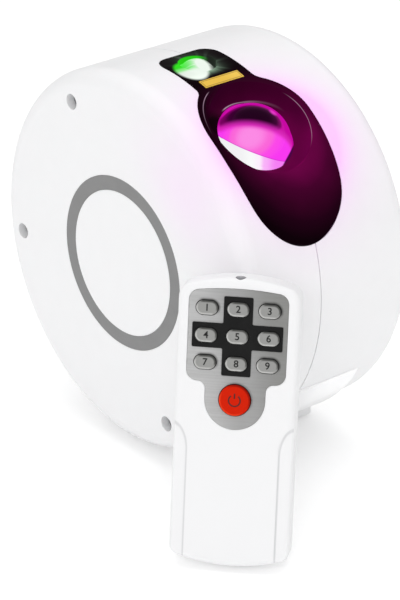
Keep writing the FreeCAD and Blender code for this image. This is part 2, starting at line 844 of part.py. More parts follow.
def optics_frame():
    underside = frame_top - frame_thickness
    plate = block(frame_left - optics_x, frame_right - optics_x, -frame_half_width, frame_half_width,
                  underside, frame_top)
    lamp_tube = tube(lamp_tube_inner + lamp_tube_wall, lamp_tube_inner, lamp_tube_bottom, frame_top)
    light_hole = disc(light_hole_radius, underside - overrun, frame_top + overrun)
    inner_room = disc(lamp_tube_inner, lamp_tube_bottom, underside)
    axle = disc(axle_radius, underside, nebula_bottom + nebula_thickness + hub_rise, nebula_offset)
    collar = disc(axle_collar_radius, underside, nebula_bottom - fit_gap, nebula_offset)
    parts = [lamp_tube, axle, collar]
    for side in (-1, 1):
        y_from, y_to = sorted((side * lug_inner_y, side * lug_outer_y))
        parts.append(block(lug_x - optics_x, lug_x - optics_x + lug_thickness, y_from, y_to,
                           lug_bottom, underside))
    frame = plate.fuse(parts).cut([light_hole, inner_room])
    frame = frame.cut(disc(shaft_radius + shaft_room, underside - overrun, frame_top + overrun,
                           nebula_pinion_x()))
    frame = out_at(frame, beam_angle, optics_x)
    for spot in frame_post_spots(lug_x - overrun):
        hole = Part.makeCylinder(frame_screw_radius + fit_gap, 2 * overrun, spot, drum_direction)
        frame = frame.cut(hole)

    laser_bottom = laser_frame_top - laser_frame_thickness
    arm = block(laser_frame_left - beam_x, laser_frame_right - beam_x, -laser_frame_front, laser_frame_back,
                laser_bottom, laser_frame_top)
    star_axle = disc(star_axle_radius, laser_bottom, star_bottom + star_thickness + fit_gap, star_offset)
    star_collar = disc(star_collar_radius, laser_bottom, star_bottom - fit_gap, star_offset)
    arm = arm.fuse([star_axle, star_collar])
    arm = arm.cut([disc(laser_body_radius + fit_gap, laser_bottom - overrun, laser_body_top + overrun),
                   disc(shaft_radius + shaft_room, laser_bottom - overrun, laser_frame_top + overrun,
                        star_pinion_x())])
    return frame.fuse(out_at(arm, laser_angle, beam_x))


def frame_screws():
    return Part.makeCompound([screw(spot, drum_direction, frame_screw_radius, frame_screw_length,
                                    frame_screw_head_radius, frame_screw_head_height)
                              for spot in frame_post_spots(lug_x)])


def lamp_heatsink():
    bottom = sink_disc_top - sink_disc_thickness
    sink = disc(lamp_tube_inner - fit_gap, bottom, sink_disc_top)
    spread = 2 * lamp_tube_inner - 2 * sink_fin_thickness
    fins = []
    for number in range(sink_fin_count):
        x = -spread / 2 + spread * number / (sink_fin_count - 1)
        fins.append(block(x - sink_fin_thickness / 2, x + sink_fin_thickness / 2, -lamp_tube_inner,
                          lamp_tube_inner, bottom - sink_fin_height, bottom + sink_fin_thickness))
    round_space = disc(lamp_tube_inner - fit_gap, bottom - sink_fin_height, sink_disc_top)
    comb = fins[0].fuse(fins[1:]).common(round_space)
    return out_at(sink.fuse(comb), beam_angle, optics_x)


def led_board():
    board = disc(led_board_radius, sink_disc_top, sink_disc_top + led_board_thickness)
    return out_at(board, beam_angle, optics_x)


def led_chips():
    base = sink_disc_top + led_board_thickness
    half = led_chip_size / 2
    chips = []
    for x in (-led_chip_spacing / 2, led_chip_spacing / 2):
        for y in (-led_chip_spacing / 2, led_chip_spacing / 2):
            chips.append(block(x - half, x + half, y - half, y + half, base, base + led_chip_height))
    return out_at(Part.makeCompound(chips), beam_angle, optics_x)


def condenser_lens():
    top = frame_top - frame_thickness
    base = top - condenser_flange_height
    flange = disc(lamp_tube_inner - fit_gap, base, top)
    dome = capped(condenser_dome_radius, condenser_dome_height, top)
    back_height = condenser_back_height - led_chip_height
    back = Part.makeCone(condenser_back_radius, condenser_dome_radius, back_height,
                         Vector(0, 0, base - back_height))
    return out_at(flange.fuse([dome, back]), beam_angle, optics_x)


def nebula_wheel():
    top = nebula_bottom + nebula_thickness
    wheel = gear(nebula_teeth, nebula_bottom, top, axle_radius + bearing_gap)
    hub = tube(hub_radius, axle_radius + bearing_gap, nebula_bottom, top + hub_rise)
    return out_at(wheel.fuse(hub), beam_angle, optics_x + nebula_offset)


def pinion(bottom, top, shaft_bottom):
    # A pinion with its shaft, turned half a tooth so that a gap faces the wheel.
    wheel = gear(pinion_teeth, bottom, top, shaft_radius / 2)
    shaft = disc(shaft_radius, shaft_bottom, top)
    shape = wheel.fuse(shaft)
    shape.rotate(Vector(), Vector(0, 0, 1), full_turn / pinion_teeth / 2)
    return shape


def nebula_pinion():
    shape = pinion(nebula_bottom - pinion_overlap, nebula_bottom + nebula_thickness + pinion_overlap,
                   frame_top - frame_thickness - shaft_depth)
    return out_at(shape, beam_angle, optics_x + nebula_pinion_x())


def motor(radius, length, top):
    # A small can motor with two flats and a bearing for its shaft.
    can = disc(radius, top - length, top)
    flat = radius * motor_flat_share
    can = can.common(block(-radius, radius, -flat, flat, top - length, top))
    return can.cut(disc(shaft_radius + bearing_gap, top - shaft_depth - bearing_gap, top + overrun))


def nebula_motor():
    shape = motor(nebula_motor_radius, nebula_motor_length, frame_top - frame_thickness)
    return out_at(shape, beam_angle, optics_x + nebula_pinion_x())


def laser_module():
    body = disc(laser_body_radius, laser_body_bottom, laser_body_top - laser_nose_height)
    nose = disc(laser_nose_radius, laser_body_bottom, laser_body_top)
    return out_at(body.fuse(nose), laser_angle, beam_x)


def star_wheel():
    top = star_bottom + star_thickness
    wheel = gear(star_teeth, star_bottom, top, star_axle_radius + bearing_gap)
    hub = tube(star_hub_radius, star_axle_radius + bearing_gap, star_bottom, top)
    return out_at(wheel.fuse(hub), laser_angle, beam_x + star_offset)


def star_pinion():
    shape = pinion(star_bottom - pinion_overlap, star_bottom + star_thickness + pinion_overlap,
                   laser_frame_top - laser_frame_thickness - shaft_depth)
    return out_at(shape, laser_angle, beam_x + star_pinion_x())


def star_motor():
    shape = motor(star_motor_radius, star_motor_length, laser_frame_top - laser_frame_thickness)
    return out_at(shape, laser_angle, beam_x + star_pinion_x())


def control_board():
    board = block(control_board_left, control_board_right, -control_board_half_width,
                  control_board_half_width, control_board_top - control_board_thickness, control_board_top)
    return out_at(board, control_angle)


def tact_switches():
    half = switch_size / 2
    switches = []
    for x in button_places():
        body = block(x - half, x + half, -half, half, control_board_top, control_board_top + switch_height)
        plunger = disc(switch_plunger_radius, control_board_top, plunger_top(), x)
        switches.append(body.fuse(plunger))
    return out_at(Part.makeCompound(switches), control_angle)


def plunger_top():
    return control_board_top + switch_height + switch_plunger_height


def dc_jack():
    half = jack_size / 2
    top = control_board_top + jack_height
    body = block(jack_x - half, jack_x + half, -half, half, control_board_top, top)
    bore = disc(jack_bore_radius, top - jack_bore_depth, top + overrun, jack_x)
    pin = disc(jack_pin_radius, top - jack_bore_depth - thread_gap, top - jack_pin_radius, jack_x)
    return out_at(body.cut(bore).fuse(pin), control_angle)


def button(x):
    # A button cap: its flange stops against the shell's inside and its stem reaches the switch.
    seat = math.sqrt(inner_radius ** 2 - button_flange_radius ** 2) - slide_gap
    cap = disc(button_radius, seat - button_flange_height, drum_radius + button_proud, x)
    rounded = [edge for edge in cap.Edges if edge.BoundBox.ZMin > drum_radius]
    cap = cap.makeFillet(button_proud / 2, rounded)
    flange = disc(button_flange_radius, seat - button_flange_height, seat, x)
    stem = disc(button_stem_radius, plunger_top() + button_travel + button_rest_gap, seat, x)
    return out_at(cap.fuse([flange, stem]), control_angle)


def driver_board():
    x_from = inner_half_width - driver_standoff - driver_thickness
    board = block(x_from, x_from + driver_thickness, -driver_half_length, driver_half_length, driver_bottom,
                  driver_top)
    holes = [Part.makeCylinder(driver_screw_radius + fit_gap, 2 * overrun, spot, drum_direction)
             for spot in driver_screw_spots(x_from - overrun)]
    return board.cut(holes)


def driver_screws():
    x_from = inner_half_width - driver_standoff - driver_thickness
    return Part.makeCompound([screw(spot, drum_direction, driver_screw_radius, driver_screw_length,
                                    driver_screw_head_radius, driver_screw_head_height)
                              for spot in driver_screw_spots(x_from)])


def driver_parts():
    # What stands on the driver board: a chip, two capacitors and three wire sockets.
    face = inner_half_width - driver_standoff - driver_thickness
    middle = (driver_bottom + driver_top) / 2
    parts = [block(face - chip_height, face, -chip_length / 2, chip_length / 2, middle - chip_width / 2,
                   middle + chip_width / 2)]
    for side in (-1, 1):
        spot = Vector(face - capacitor_height, side * driver_half_length / 2, middle)
        parts.append(Part.makeCylinder(capacitor_radius, capacitor_height, spot, drum_direction))
    for number in (-1, 0, 1):
        y = number * (socket_length + driver_post_inset)
        parts.append(block(face - socket_height, face, y - socket_length / 2, y + socket_length / 2,
                           driver_top - socket_width, driver_top))
    return Part.makeCompound(parts)


def receiver_board():
    half = receiver_board_size / 2
    top = panel_inner - receiver_drop
    board = block(-half, half, -half, half, top - receiver_board_thickness, top)
    return out_at(board, receiver_angle, beam_x)


def ir_receiver():
    half = receiver_size / 2
    base = panel_inner - receiver_drop
    shift = receiver_size
    body = block(-half, half, -half - shift / 2, half - shift / 2, base, base + receiver_depth)
    return out_at(body, receiver_angle, beam_x)


def stood_off(shape, distance):
    # Leans a piece of the remote back on its lower edge, at a distance before the drum's middle.
    tip_back = Placement(Vector(), Rotation(Vector(1, 0, 0), -remote_lean))
    turn = Rotation(Vector(0, 0, 1), -remote_heading)
    lean = math.radians(remote_lean)
    height = (remote_depth - remote_back_edge) * math.sin(lean) + remote_back_edge * (1 - math.cos(lean))
    foot = turn.multVec(Vector(remote_aside, -distance, height - axis_height))
    shape.Placement = Placement(foot, turn).multiply(tip_back).multiply(shape.Placement)
    return shape


def remote_blank(inset, y_from, y_to):
    # The remote's outline, drawn in by an inset: bowed ends and straight sides.
    half = remote_half_width - inset
    top = remote_length - inset
    corner_height = top - remote_top_rise
    bottom_height = remote_bottom_rise + inset

    def at(x, z):
        return Vector(x, y_from, z)

    edges = [arc(at(-half, corner_height), at(0, top), at(half, corner_height)),
             line(at(half, corner_height), at(half, bottom_height)),
             arc(at(half, bottom_height), at(0, inset), at(-half, bottom_height)),
             line(at(-half, bottom_height), at(-half, corner_height))]
    blank = Part.Face(Part.Wire(edges)).extrude(Vector(0, y_to - y_from, 0))

    def corners(above):
        return [edge for edge in blank.Edges if abs(edge.BoundBox.YLength - abs(y_to - y_from)) < fit_gap
                and edge.BoundBox.ZLength < fit_gap and (edge.CenterOfMass.z > remote_length / 2) == above]

    blank = blank.makeFillet(remote_corner - inset, corners(True))
    return blank.makeFillet(remote_bottom_corner - inset / 2, corners(False))


def rim_edges(shape, y):
    return [edge for edge in shape.Edges
            if edge.BoundBox.YLength < fit_gap and abs(edge.CenterOfMass.y - y) < fit_gap]


def remote_back_blank():
    blank = remote_blank(0, remote_split, remote_depth)
    return blank.makeFillet(remote_back_edge, rim_edges(blank, remote_depth))


def lean_distance():
    # Where the remote stands so that its back is the lean gap away from the drum.
    drum = half_drum(drum_radius, -drum_half_width, rim_radius, drum_half_width - rim_radius)
    near = drum_radius / 2
    far = near + drum_radius + drum_half_width + remote_length
    while far - near > lean_gap / 1000:
        middle = (near + far) / 2
        back = stood_off(remote_back_blank(), middle)
        if back.distToShape(drum)[0] > lean_gap:
            far = middle
        else:
            near = middle
    return far


remote_distance = lean_distance()


def leaned(shape):
    return stood_off(shape, remote_distance)


def plate_blank(grow, y_from, y_to):
    # The shield plate: a bowed top, a shoulder each side and a round lower end about the round key.
    half = plate_half_width + grow
    top = plate_top + grow
    round_radius = power_radius + plate_round_gap + grow
    centre = key_bottom_row - power_drop
    shoulder = plate_shoulder - grow

    def at(x, z):
        return Vector(x, y_from, z)

    edges = [arc(at(-half, top - plate_top_rise), at(0, top), at(half, top - plate_top_rise)),
             line(at(half, top - plate_top_rise), at(half, shoulder)),
             line(at(half, shoulder), at(round_radius, shoulder)),
             line(at(round_radius, shoulder), at(round_radius, centre)),
             arc(at(round_radius, centre), at(0, centre - round_radius), at(-round_radius, centre)),
             line(at(-round_radius, centre), at(-round_radius, shoulder)),
             line(at(-round_radius, shoulder), at(-half, shoulder)),
             line(at(-half, shoulder), at(-half, top - plate_top_rise))]
    blank = Part.Face(Part.Wire(edges)).extrude(Vector(0, y_to - y_from, 0))

    def across(x):
        return [edge for edge in blank.Edges
                if abs(edge.BoundBox.YLength - abs(y_to - y_from)) < thread_gap
                and abs(abs(edge.CenterOfMass.x) - x) < thread_gap
                and edge.CenterOfMass.z > centre + fit_gap]

    blank = blank.makeFillet(plate_corner + grow, across(half))
    return blank.makeFillet(plate_fillet - grow, across(round_radius))


def key_spots():
    # Centres of the nine keys, left to right and top row first.
    spots = []
    for row in (2, 1, 0):
        for column in (-1, 0, 1):
            spots.append((column * key_pitch_x, key_bottom_row + row * key_pitch_z))
    return spots


def key_bar(x, z, grow, y_from, y_to):
    # A key's round-ended body between two depths.
    half_height = key_height / 2 + grow
    reach = (key_width - key_height) / 2

    def at(dx, dz):
        return Vector(x + dx, y_from, z + dz)

    edges = [line(at(-reach, half_height), at(reach, half_height)),
             arc(at(reach, half_height), at(reach + half_height, 0), at(reach, -half_height)),
             line(at(reach, -half_height), at(-reach, -half_height)),
             arc(at(-reach, -half_height), at(-reach - half_height, 0), at(-reach, half_height))]
    return Part.Face(Part.Wire(edges)).extrude(Vector(0, y_to - y_from, 0))


def upright_disc(radius, x, z, y_from, y_to):
    return Part.makeCylinder(radius, y_to - y_from, Vector(x, y_from, z), Vector(0, 1, 0))


def power_height():
    return key_bottom_row - power_drop


def key_seat():
    # Depth of a key's flange at rest, just behind the front shell's inner face.
    return remote_wall + key_gap


def dome_tip():
    return key_seat() + key_flange_depth + key_travel + button_rest_gap


def board_front():
    return dome_tip() + mat_dome_height + mat_thickness


def board_back():
    return board_front() + handset_board_thickness


def key_openings(y_from, y_to):
    openings = [key_bar(x, z, key_gap, y_from, y_to) for x, z in key_spots()]
    openings.append(upright_disc(power_radius + key_gap, 0, power_height(), y_from, y_to))
    return openings


def remote_front_shell():
    shell = remote_blank(0, 0, remote_split)
    shell = shell.makeFillet(remote_front_edge, rim_edges(shell, 0))
    shell = shell.cut(remote_blank(remote_wall, remote_wall, remote_split + overrun))
    for side in (-1, 1):
        near = side * grip_line
        far = side * (remote_half_width + overrun)

        def at(x, z):
            return Vector(x, -overrun, z)

        bend_x = near + side * (remote_half_width - grip_line)
        start = at(near, grip_top - grip_bend)
        end = at(bend_x, grip_top)
        share = math.sqrt(0.5)
        middle = at(bend_x - side * share * (remote_half_width - grip_line),
                    grip_top - grip_bend * (1 - share))
        edges = [line(at(near, -overrun), start), arc(start, middle, end), line(end, at(far, grip_top)),
                 line(at(far, grip_top), at(far, -overrun)), line(at(far, -overrun), at(near, -overrun))]
        step = Part.Face(Part.Wire(edges)).extrude(Vector(0, overrun + grip_depth, 0))
        shell = shell.cut(step)
    plate_room = plate_blank(fit_gap, -overrun, plate_thickness)
    emitter_room = Part.makeCylinder(emitter_radius + fit_gap, emitter_length + overrun,
                                     Vector(0, emitter_depth, remote_length - emitter_length))
    return leaned(shell.cut([plate_room, emitter_room] + key_openings(-overrun, remote_split)))


def door_blank(grow, y_from, y_to):
    half = door_half_width + grow
    return block(-half, half, y_from, y_to, door_bottom - grow, door_bottom + door_length + grow)


def remote_back_shell():
    shell = remote_back_blank()
    inner = remote_blank(remote_wall, remote_split - overrun, remote_depth - remote_wall)
    inner = inner.makeFillet(remote_back_edge - remote_wall, rim_edges(inner, remote_depth - remote_wall))
    shell = shell.cut(inner)
    bay = door_blank(bay_wall + key_gap, bay_floor_depth - bay_wall, remote_depth - remote_wall / 2)
    bay_space = door_blank(key_gap, bay_floor_depth, remote_depth + overrun)
    posts = []
    for share_x, share_z in board_post_spots_share:
        z = handset_board_bottom + share_z * (handset_board_top - handset_board_bottom)
        posts.append(upright_disc(board_post_radius, share_x * handset_board_half_width, z, board_back(),
                                  remote_depth - remote_wall / 2))
    lip_inset = remote_wall + fit_gap
    lip_start = remote_split - remote_lip_reach
    lip = remote_blank(lip_inset, lip_start, remote_split + remote_lip_reach)
    lip = lip.cut(remote_blank(lip_inset + remote_lip_width, lip_start - overrun, remote_split + overrun))
    hidden = remote_blank(remote_wall / 2, remote_split, remote_split + remote_lip_reach)
    root = hidden.cut(remote_blank(lip_inset + remote_lip_width, remote_split - overrun, remote_depth))
    shell = shell.fuse([bay, lip, root] + posts).cut(bay_space)
    reach = door_half_width + door_pin_length + bearing_gap
    return leaned(shell.cut(along_door(door_pin_radius + bearing_gap, reach)))


def hinge_height():
    return door_bottom + door_length - door_wall / 2


def along_door(radius, reach):
    # A bar along the battery door's hinge line, at the door's upper end.
    start = Vector(-reach, remote_depth - door_wall / 2, hinge_height())
    return Part.makeCylinder(radius, 2 * reach, start, Vector(1, 0, 0))


def battery_door():
    door = door_blank(0, remote_depth - door_wall, remote_depth)
    door = door.cut(block(-door_half_width, door_half_width, remote_depth - door_wall, remote_depth,
                          hinge_height(), door_bottom + door_length))
    door = door.fuse([along_door(door_wall / 2, door_half_width),
                      along_door(door_pin_radius, door_half_width + door_pin_length)])
    for number in range(1, door_groove_count + 1):
        z = door_bottom + number * door_groove_pitch
        door = door.cut(block(-door_groove_half_length, door_groove_half_length,
                              remote_depth - door_groove_depth, remote_depth + overrun,
                              z, z + door_groove_width))
    return leaned(door)


def cell_places():
    return (-cell_radius - cell_gap / 2, cell_radius + cell_gap / 2)


def cell_depth():
    return bay_floor_depth + cell_play + cell_radius


def battery_cells():
    # Two cells side by side, the second upside down.
    cells = []
    for number, x in enumerate(cell_places()):
        body = Part.makeCylinder(cell_radius, cell_length, Vector(x, cell_depth(), cell_bottom))
        nub_start = cell_bottom + cell_length if number == 0 else cell_bottom - cell_nub_length
        nub = Part.makeCylinder(cell_nub_radius, cell_nub_length, Vector(x, cell_depth(), nub_start))
        cells.append(body.fuse(nub))
    return leaned(Part.makeCompound(cells))


def battery_contacts():
    # A flat plate at each cell's nub, and a plate with a conical spring at its other end.
    low = door_bottom - key_gap
    high = door_bottom + door_length + key_gap
    contacts = []
    for number, x in enumerate(cell_places()):
        ends = [(low, cell_bottom, number == 0), (high, cell_bottom + cell_length, number == 1)]
        for wall_z, cell_z, sprung in ends:
            side = math.copysign(1, cell_z - wall_z)
            z_from, z_to = sorted((wall_z, wall_z + side * contact_thickness))
            plate = block(x - contact_half_width, x + contact_half_width, cell_depth() - contact_half_width,
                          cell_depth() + contact_half_width, z_from, z_to)
            near = wall_z + side * contact_thickness
            base = Vector(x, cell_depth(), near)
            if sprung:
                horn = Part.makeCone(contact_spring_radius, cell_nub_radius, abs(cell_z - near), base,
                                     Vector(0, 0, side))
            else:
                tip = cell_z - side * cell_nub_length
                horn = Part.makeCylinder(cell_nub_radius, abs(tip - near), base, Vector(0, 0, side))
            contacts.append(plate.fuse(horn))
    return leaned(Part.makeCompound(contacts))


def ir_emitter():
    top = remote_length + emitter_proud / 2
    body = Part.makeCylinder(emitter_radius, emitter_length, Vector(0, emitter_depth, top - emitter_length))
    rounded = [edge for edge in body.Edges if edge.BoundBox.ZMin > top - fit_gap]
    return leaned(body.makeFillet(emitter_proud, rounded))


def shield_plate():
    plate = plate_blank(0, -plate_proud, plate_thickness)
    return leaned(plate.cut(key_openings(-overrun, overrun)))


def cross_blank(y_from, y_to):
    middle = key_bottom_row + key_pitch_z
    upright = block(-cross_half_bar, cross_half_bar, y_from, y_to, middle - cross_half_height,
                    middle + cross_half_height)
    level = block(-cross_half_arm, cross_half_arm, y_from, y_to, middle - cross_half_arm_height,
                  middle + cross_half_arm_height)
    cross = upright.fuse(level).removeSplitter()
    corners = [edge for edge in cross.Edges if edge.BoundBox.YLength > (y_to - y_from) / 2]
    return cross.makeFillet(cross_corner, corners)


def cross_plate():
    cross = cross_blank(-plate_proud - cross_thickness, -plate_proud)
    return leaned(cross.cut(key_openings(-overrun, overrun)))


def key_cap(number):
    x, z = key_spots()[number - 1]
    back = key_seat() + key_flange_depth
    cap = key_bar(x, z, 0, -key_proud, back)
    cap = cap.makeFillet(key_proud / 2, rim_edges(cap, -key_proud))
    flange = key_bar(x, z, key_flange, key_seat(), back)
    return leaned(cap.fuse(flange))


def power_key():
    back = key_seat() + key_flange_depth
    cap = upright_disc(power_radius, 0, power_height(), -power_proud, back)
    cap = cap.makeFillet(key_proud, rim_edges(cap, -power_proud))
    flange = upright_disc(power_radius + key_flange, 0, power_height(), key_seat(), back)
    return leaned(cap.fuse(flange))


def keypad_mat():
    # The rubber contact mat: low domes that the keys press.
    front = dome_tip() + mat_dome_height
    mat = block(-handset_board_half_width + mat_thickness, handset_board_half_width - mat_thickness, front,
                board_front(), handset_board_bottom + mat_thickness, handset_board_top - mat_thickness)
    domes = [upright_disc(mat_dome_radius, x, z, dome_tip(), front) for x, z in key_spots()]
    domes.append(upright_disc(mat_dome_radius, 0, power_height(), dome_tip(), front))
    return leaned(mat.fuse(domes))


def remote_board():
    return leaned(block(-handset_board_half_width, handset_board_half_width, board_front(), board_back(),
                        handset_board_bottom, handset_board_top))


def save(name, shape, lift=axis_height):
    shape.translate(Vector(0, 0, lift))
    solids = shape.Solids
    valid = all(solid.isValid() for solid in solids)
    print(name, len(solids), "solids", "valid" if valid else "NOT VALID", round(shape.Volume))
    shape.exportStep("parts/" + name + ".step")


nodes = {
    "foot_cradle": foot_cradle(),
    "foot_pad": foot_pad(),
    "clamp_washer": clamp_washer(),
    "clamp_screw": clamp_screw(),
    "ring_shell": ring_shell(),
    "rear_shell": rear_shell(),
    "face_ring": face_ring(),
    "shell_screws": shell_screws(),
    "aperture_panel": aperture_panel(),
    "aperture_strip": aperture_strip(),
    "dome_lens": dome_lens(),
    "laser_window": laser_window(),
    "optics_frame": optics_frame(),
    "frame_screws": frame_screws(),
    "lamp_heatsink": lamp_heatsink(),
    "led_board": led_board(),
    "led_chips": led_chips(),
    "condenser_lens": condenser_lens(),
    "nebula_wheel": nebula_wheel(),
    "nebula_pinion": nebula_pinion(),
    "nebula_motor": nebula_motor(),
    "laser_module": laser_module(),
    "star_wheel": star_wheel(),
    "star_pinion": star_pinion(),
    "star_motor": star_motor(),
    "control_board": control_board(),
    "tact_switches": tact_switches(),
    "dc_jack": dc_jack(),
    "driver_board": driver_board(),
    "driver_screws": driver_screws(),
    "driver_parts": driver_parts(),
    "receiver_board": receiver_board(),
    "ir_receiver": ir_receiver(),
    "remote_front_shell": remote_front_shell(),
    "remote_back_shell": remote_back_shell(),
    "shield_plate": shield_plate(),
    "cross_plate": cross_plate(),
    "keypad_mat": keypad_mat(),
    "remote_board": remote_board(),
    "ir_emitter": ir_emitter(),
    "battery_cells": battery_cells(),
    "battery_contacts": battery_contacts(),
    "battery_door": battery_door(),
    "power_key": power_key(),
}
for number, x in enumerate(button_places(), 1):
    nodes["control_button_" + str(number)] = button(x)
for number in range(1, len(key_spots()) + 1):
    nodes["key_" + str(number)] = key_cap(number)
for name, shape in nodes.items():
    save(name, shape)
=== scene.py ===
import json
import math
import bmesh
import bpy
from mathutils import Matrix, Vector


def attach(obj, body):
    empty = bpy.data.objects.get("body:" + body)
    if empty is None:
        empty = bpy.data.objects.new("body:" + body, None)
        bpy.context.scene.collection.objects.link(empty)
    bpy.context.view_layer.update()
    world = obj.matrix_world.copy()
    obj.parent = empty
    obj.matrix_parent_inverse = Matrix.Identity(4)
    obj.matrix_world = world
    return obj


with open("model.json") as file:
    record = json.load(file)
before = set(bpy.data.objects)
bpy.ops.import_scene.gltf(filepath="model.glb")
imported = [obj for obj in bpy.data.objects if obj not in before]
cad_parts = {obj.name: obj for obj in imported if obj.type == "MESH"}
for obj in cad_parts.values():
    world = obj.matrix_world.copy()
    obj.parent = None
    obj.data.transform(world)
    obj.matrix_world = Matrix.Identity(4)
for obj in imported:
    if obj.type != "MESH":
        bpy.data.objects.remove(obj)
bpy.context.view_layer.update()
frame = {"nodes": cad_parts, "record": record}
nodes = frame["nodes"]
mm = 0.001


def linear(hexText):
    # An sRGB hex colour as the linear numbers that the sockets take.
    channels = [int(hexText[place:place + 2], 16) / 255 for place in (1, 3, 5)]
    low = 0.04045
    return tuple(c / 12.92 if c <= low else ((c + 0.055) / 1.055) ** 2.4 for c in channels) + (1.0,)


def addNode(tree, kind, values=None, **settings):
    # One shader node: values go to its inputs, as numbers or as links from other nodes' outputs.
    node = tree.nodes.new(kind)
    for name, value in settings.items():
        setattr(node, name, value)
    for key, value in (values or {}).items():
        if isinstance(value, bpy.types.NodeSocket):
            tree.links.new(value, node.inputs[key])
        else:
            node.inputs[key].default_value = value
    return node


def newMaterial(name, values):
    material = bpy.data.materials.new(name)
    material.use_nodes = True
    tree = material.node_tree
    shader = tree.nodes["Principled BSDF"]
    for key, value in values.items():
        shader.inputs[key].default_value = value
    material.diffuse_color = shader.inputs["Base Color"].default_value
    return material, tree, shader


def objectPoint(tree):
    return addNode(tree, "ShaderNodeTexCoord").outputs["Object"]


def arithmetic(tree, operation, first, second=0.0, clamp=False):
    values = {0: first, 1: second}
    return addNode(tree, "ShaderNodeMath", values, operation=operation, use_clamp=clamp).outputs[0]


def ramp(tree, factor, stops, interpolation="EASE"):
    # stops are (place, hex colour) pairs.
    node = addNode(tree, "ShaderNodeValToRGB", {"Fac": factor})
    node.color_ramp.interpolation = interpolation
    elements = node.color_ramp.elements
    while len(elements) > 1:
        elements.remove(elements[-1])
    elements[0].position, elements[0].color = stops[0][0], linear(stops[0][1])
    for place, colour in stops[1:]:
        elements.new(place).color = linear(colour)
    return node.outputs["Color"]


def spread(tree, value, low, high, toLow=0.0, toHigh=1.0):
    # value from low..high to toLow..toHigh, smoothly.
    values = {"Value": value, "From Min": low, "From Max": high, "To Min": toLow, "To Max": toHigh}
    node = addNode(tree, "ShaderNodeMapRange", values, interpolation_type="SMOOTHSTEP")
    return node.outputs["Result"]


def addGrain(tree, shader, grain, bump, roughness, point=None):
    # Fine moulded texture: grain in mm, bump height in mm, roughness as a low and a high limit.
    point = point or objectPoint(tree)
    fine = addNode(tree, "ShaderNodeTexNoise", {"Vector": point, "Scale": 1 / (grain * mm), "Detail": 3.0})
    broad = addNode(tree, "ShaderNodeTexNoise", {"Vector": point, "Scale": 1 / (22 * grain * mm),
                                                 "Detail": 2.0})
    tree.links.new(spread(tree, broad.outputs["Fac"], 0.3, 0.7, *roughness), shader.inputs["Roughness"])
    bumpNode = addNode(tree, "ShaderNodeBump", {"Height": fine.outputs["Fac"], "Distance": bump * mm,
                                                "Strength": 0.6})
    tree.links.new(bumpNode.outputs["Normal"], shader.inputs["Normal"])
    return broad.outputs["Fac"]


def tinted(tree, factor, darker, lighter):
    return ramp(tree, factor, [(0.3, darker), (0.7, lighter)], "LINEAR")


# The drum's own directions, as in the CAD source.
axisHeight = 88 * mm
beamX = -8.55 * mm
beamAngle = 34
laserAngle = 4.5


def outFrame(angle, x):
    # A frame whose Z points out of the drum at an angle from up toward the front.
    turn = Matrix.Rotation(math.radians(angle), 4, "X")
    return Matrix.Translation((x, 0, axisHeight)) @ turn


def pointIn(tree, frameMatrix):
    # The Object coordinates, turned into another frame at rest and scaled to mm.
    inverse = frameMatrix.inverted()
    rotation = inverse.to_euler("XYZ")
    moved = addNode(tree, "ShaderNodeMapping", {"Vector": objectPoint(tree), "Rotation": rotation,
                                                "Location": inverse.translation}, vector_type="POINT")
    inMm = {0: moved.outputs["Vector"], "Scale": 1 / mm}
    return addNode(tree, "ShaderNodeVectorMath", inMm, operation="SCALE").outputs["Vector"]


def parts(tree, vector):
    node = addNode(tree, "ShaderNodeSeparateXYZ", {"Vector": vector})
    return node.outputs["X"], node.outputs["Y"], node.outputs["Z"]


def planeHeight(tree, point, direction, height):
    # How far a point lies beyond a plane, in mm.
    along = addNode(tree, "ShaderNodeVectorMath", {0: point, 1: direction}, operation="DOT_PRODUCT")
    return arithmetic(tree, "SUBTRACT", along.outputs["Value"], height)


def distanceFrom(tree, point, centre, stretch=(1, 1, 0)):
    # Distance from a spot in mm, with each direction stretched; 0 leaves a direction out.
    for operation, by in (("SUBTRACT", centre), ("MULTIPLY", stretch)):
        node = addNode(tree, "ShaderNodeVectorMath", {0: point, 1: by}, operation=operation)
        point = node.outputs["Vector"]
    return addNode(tree, "ShaderNodeVectorMath", {0: point}, operation="LENGTH").outputs["Value"]


def fading(tree, distance, start, fall):
    # 1 up to the start, then falling off by e in each length of fall, in mm.
    past = arithmetic(tree, "MAXIMUM", arithmetic(tree, "SUBTRACT", distance, start), 0.0)
    return arithmetic(tree, "EXPONENT", arithmetic(tree, "MULTIPLY", past, -1 / fall))


def mixed(tree, factor, first, second):
    # Two colours mixed by a factor; a colour is a hex text or another node's output.
    first, second = [linear(colour) if isinstance(colour, str) else colour for colour in (first, second)]
    return addNode(tree, "ShaderNodeMix", {0: factor, 6: first, 7: second}, data_type="RGBA").outputs[2]


glow = {"centre": (3.0, -8.4, 0), "start": 28.6, "fall": 7.9, "tint": "#F4C8F5", "strength": 0.085}


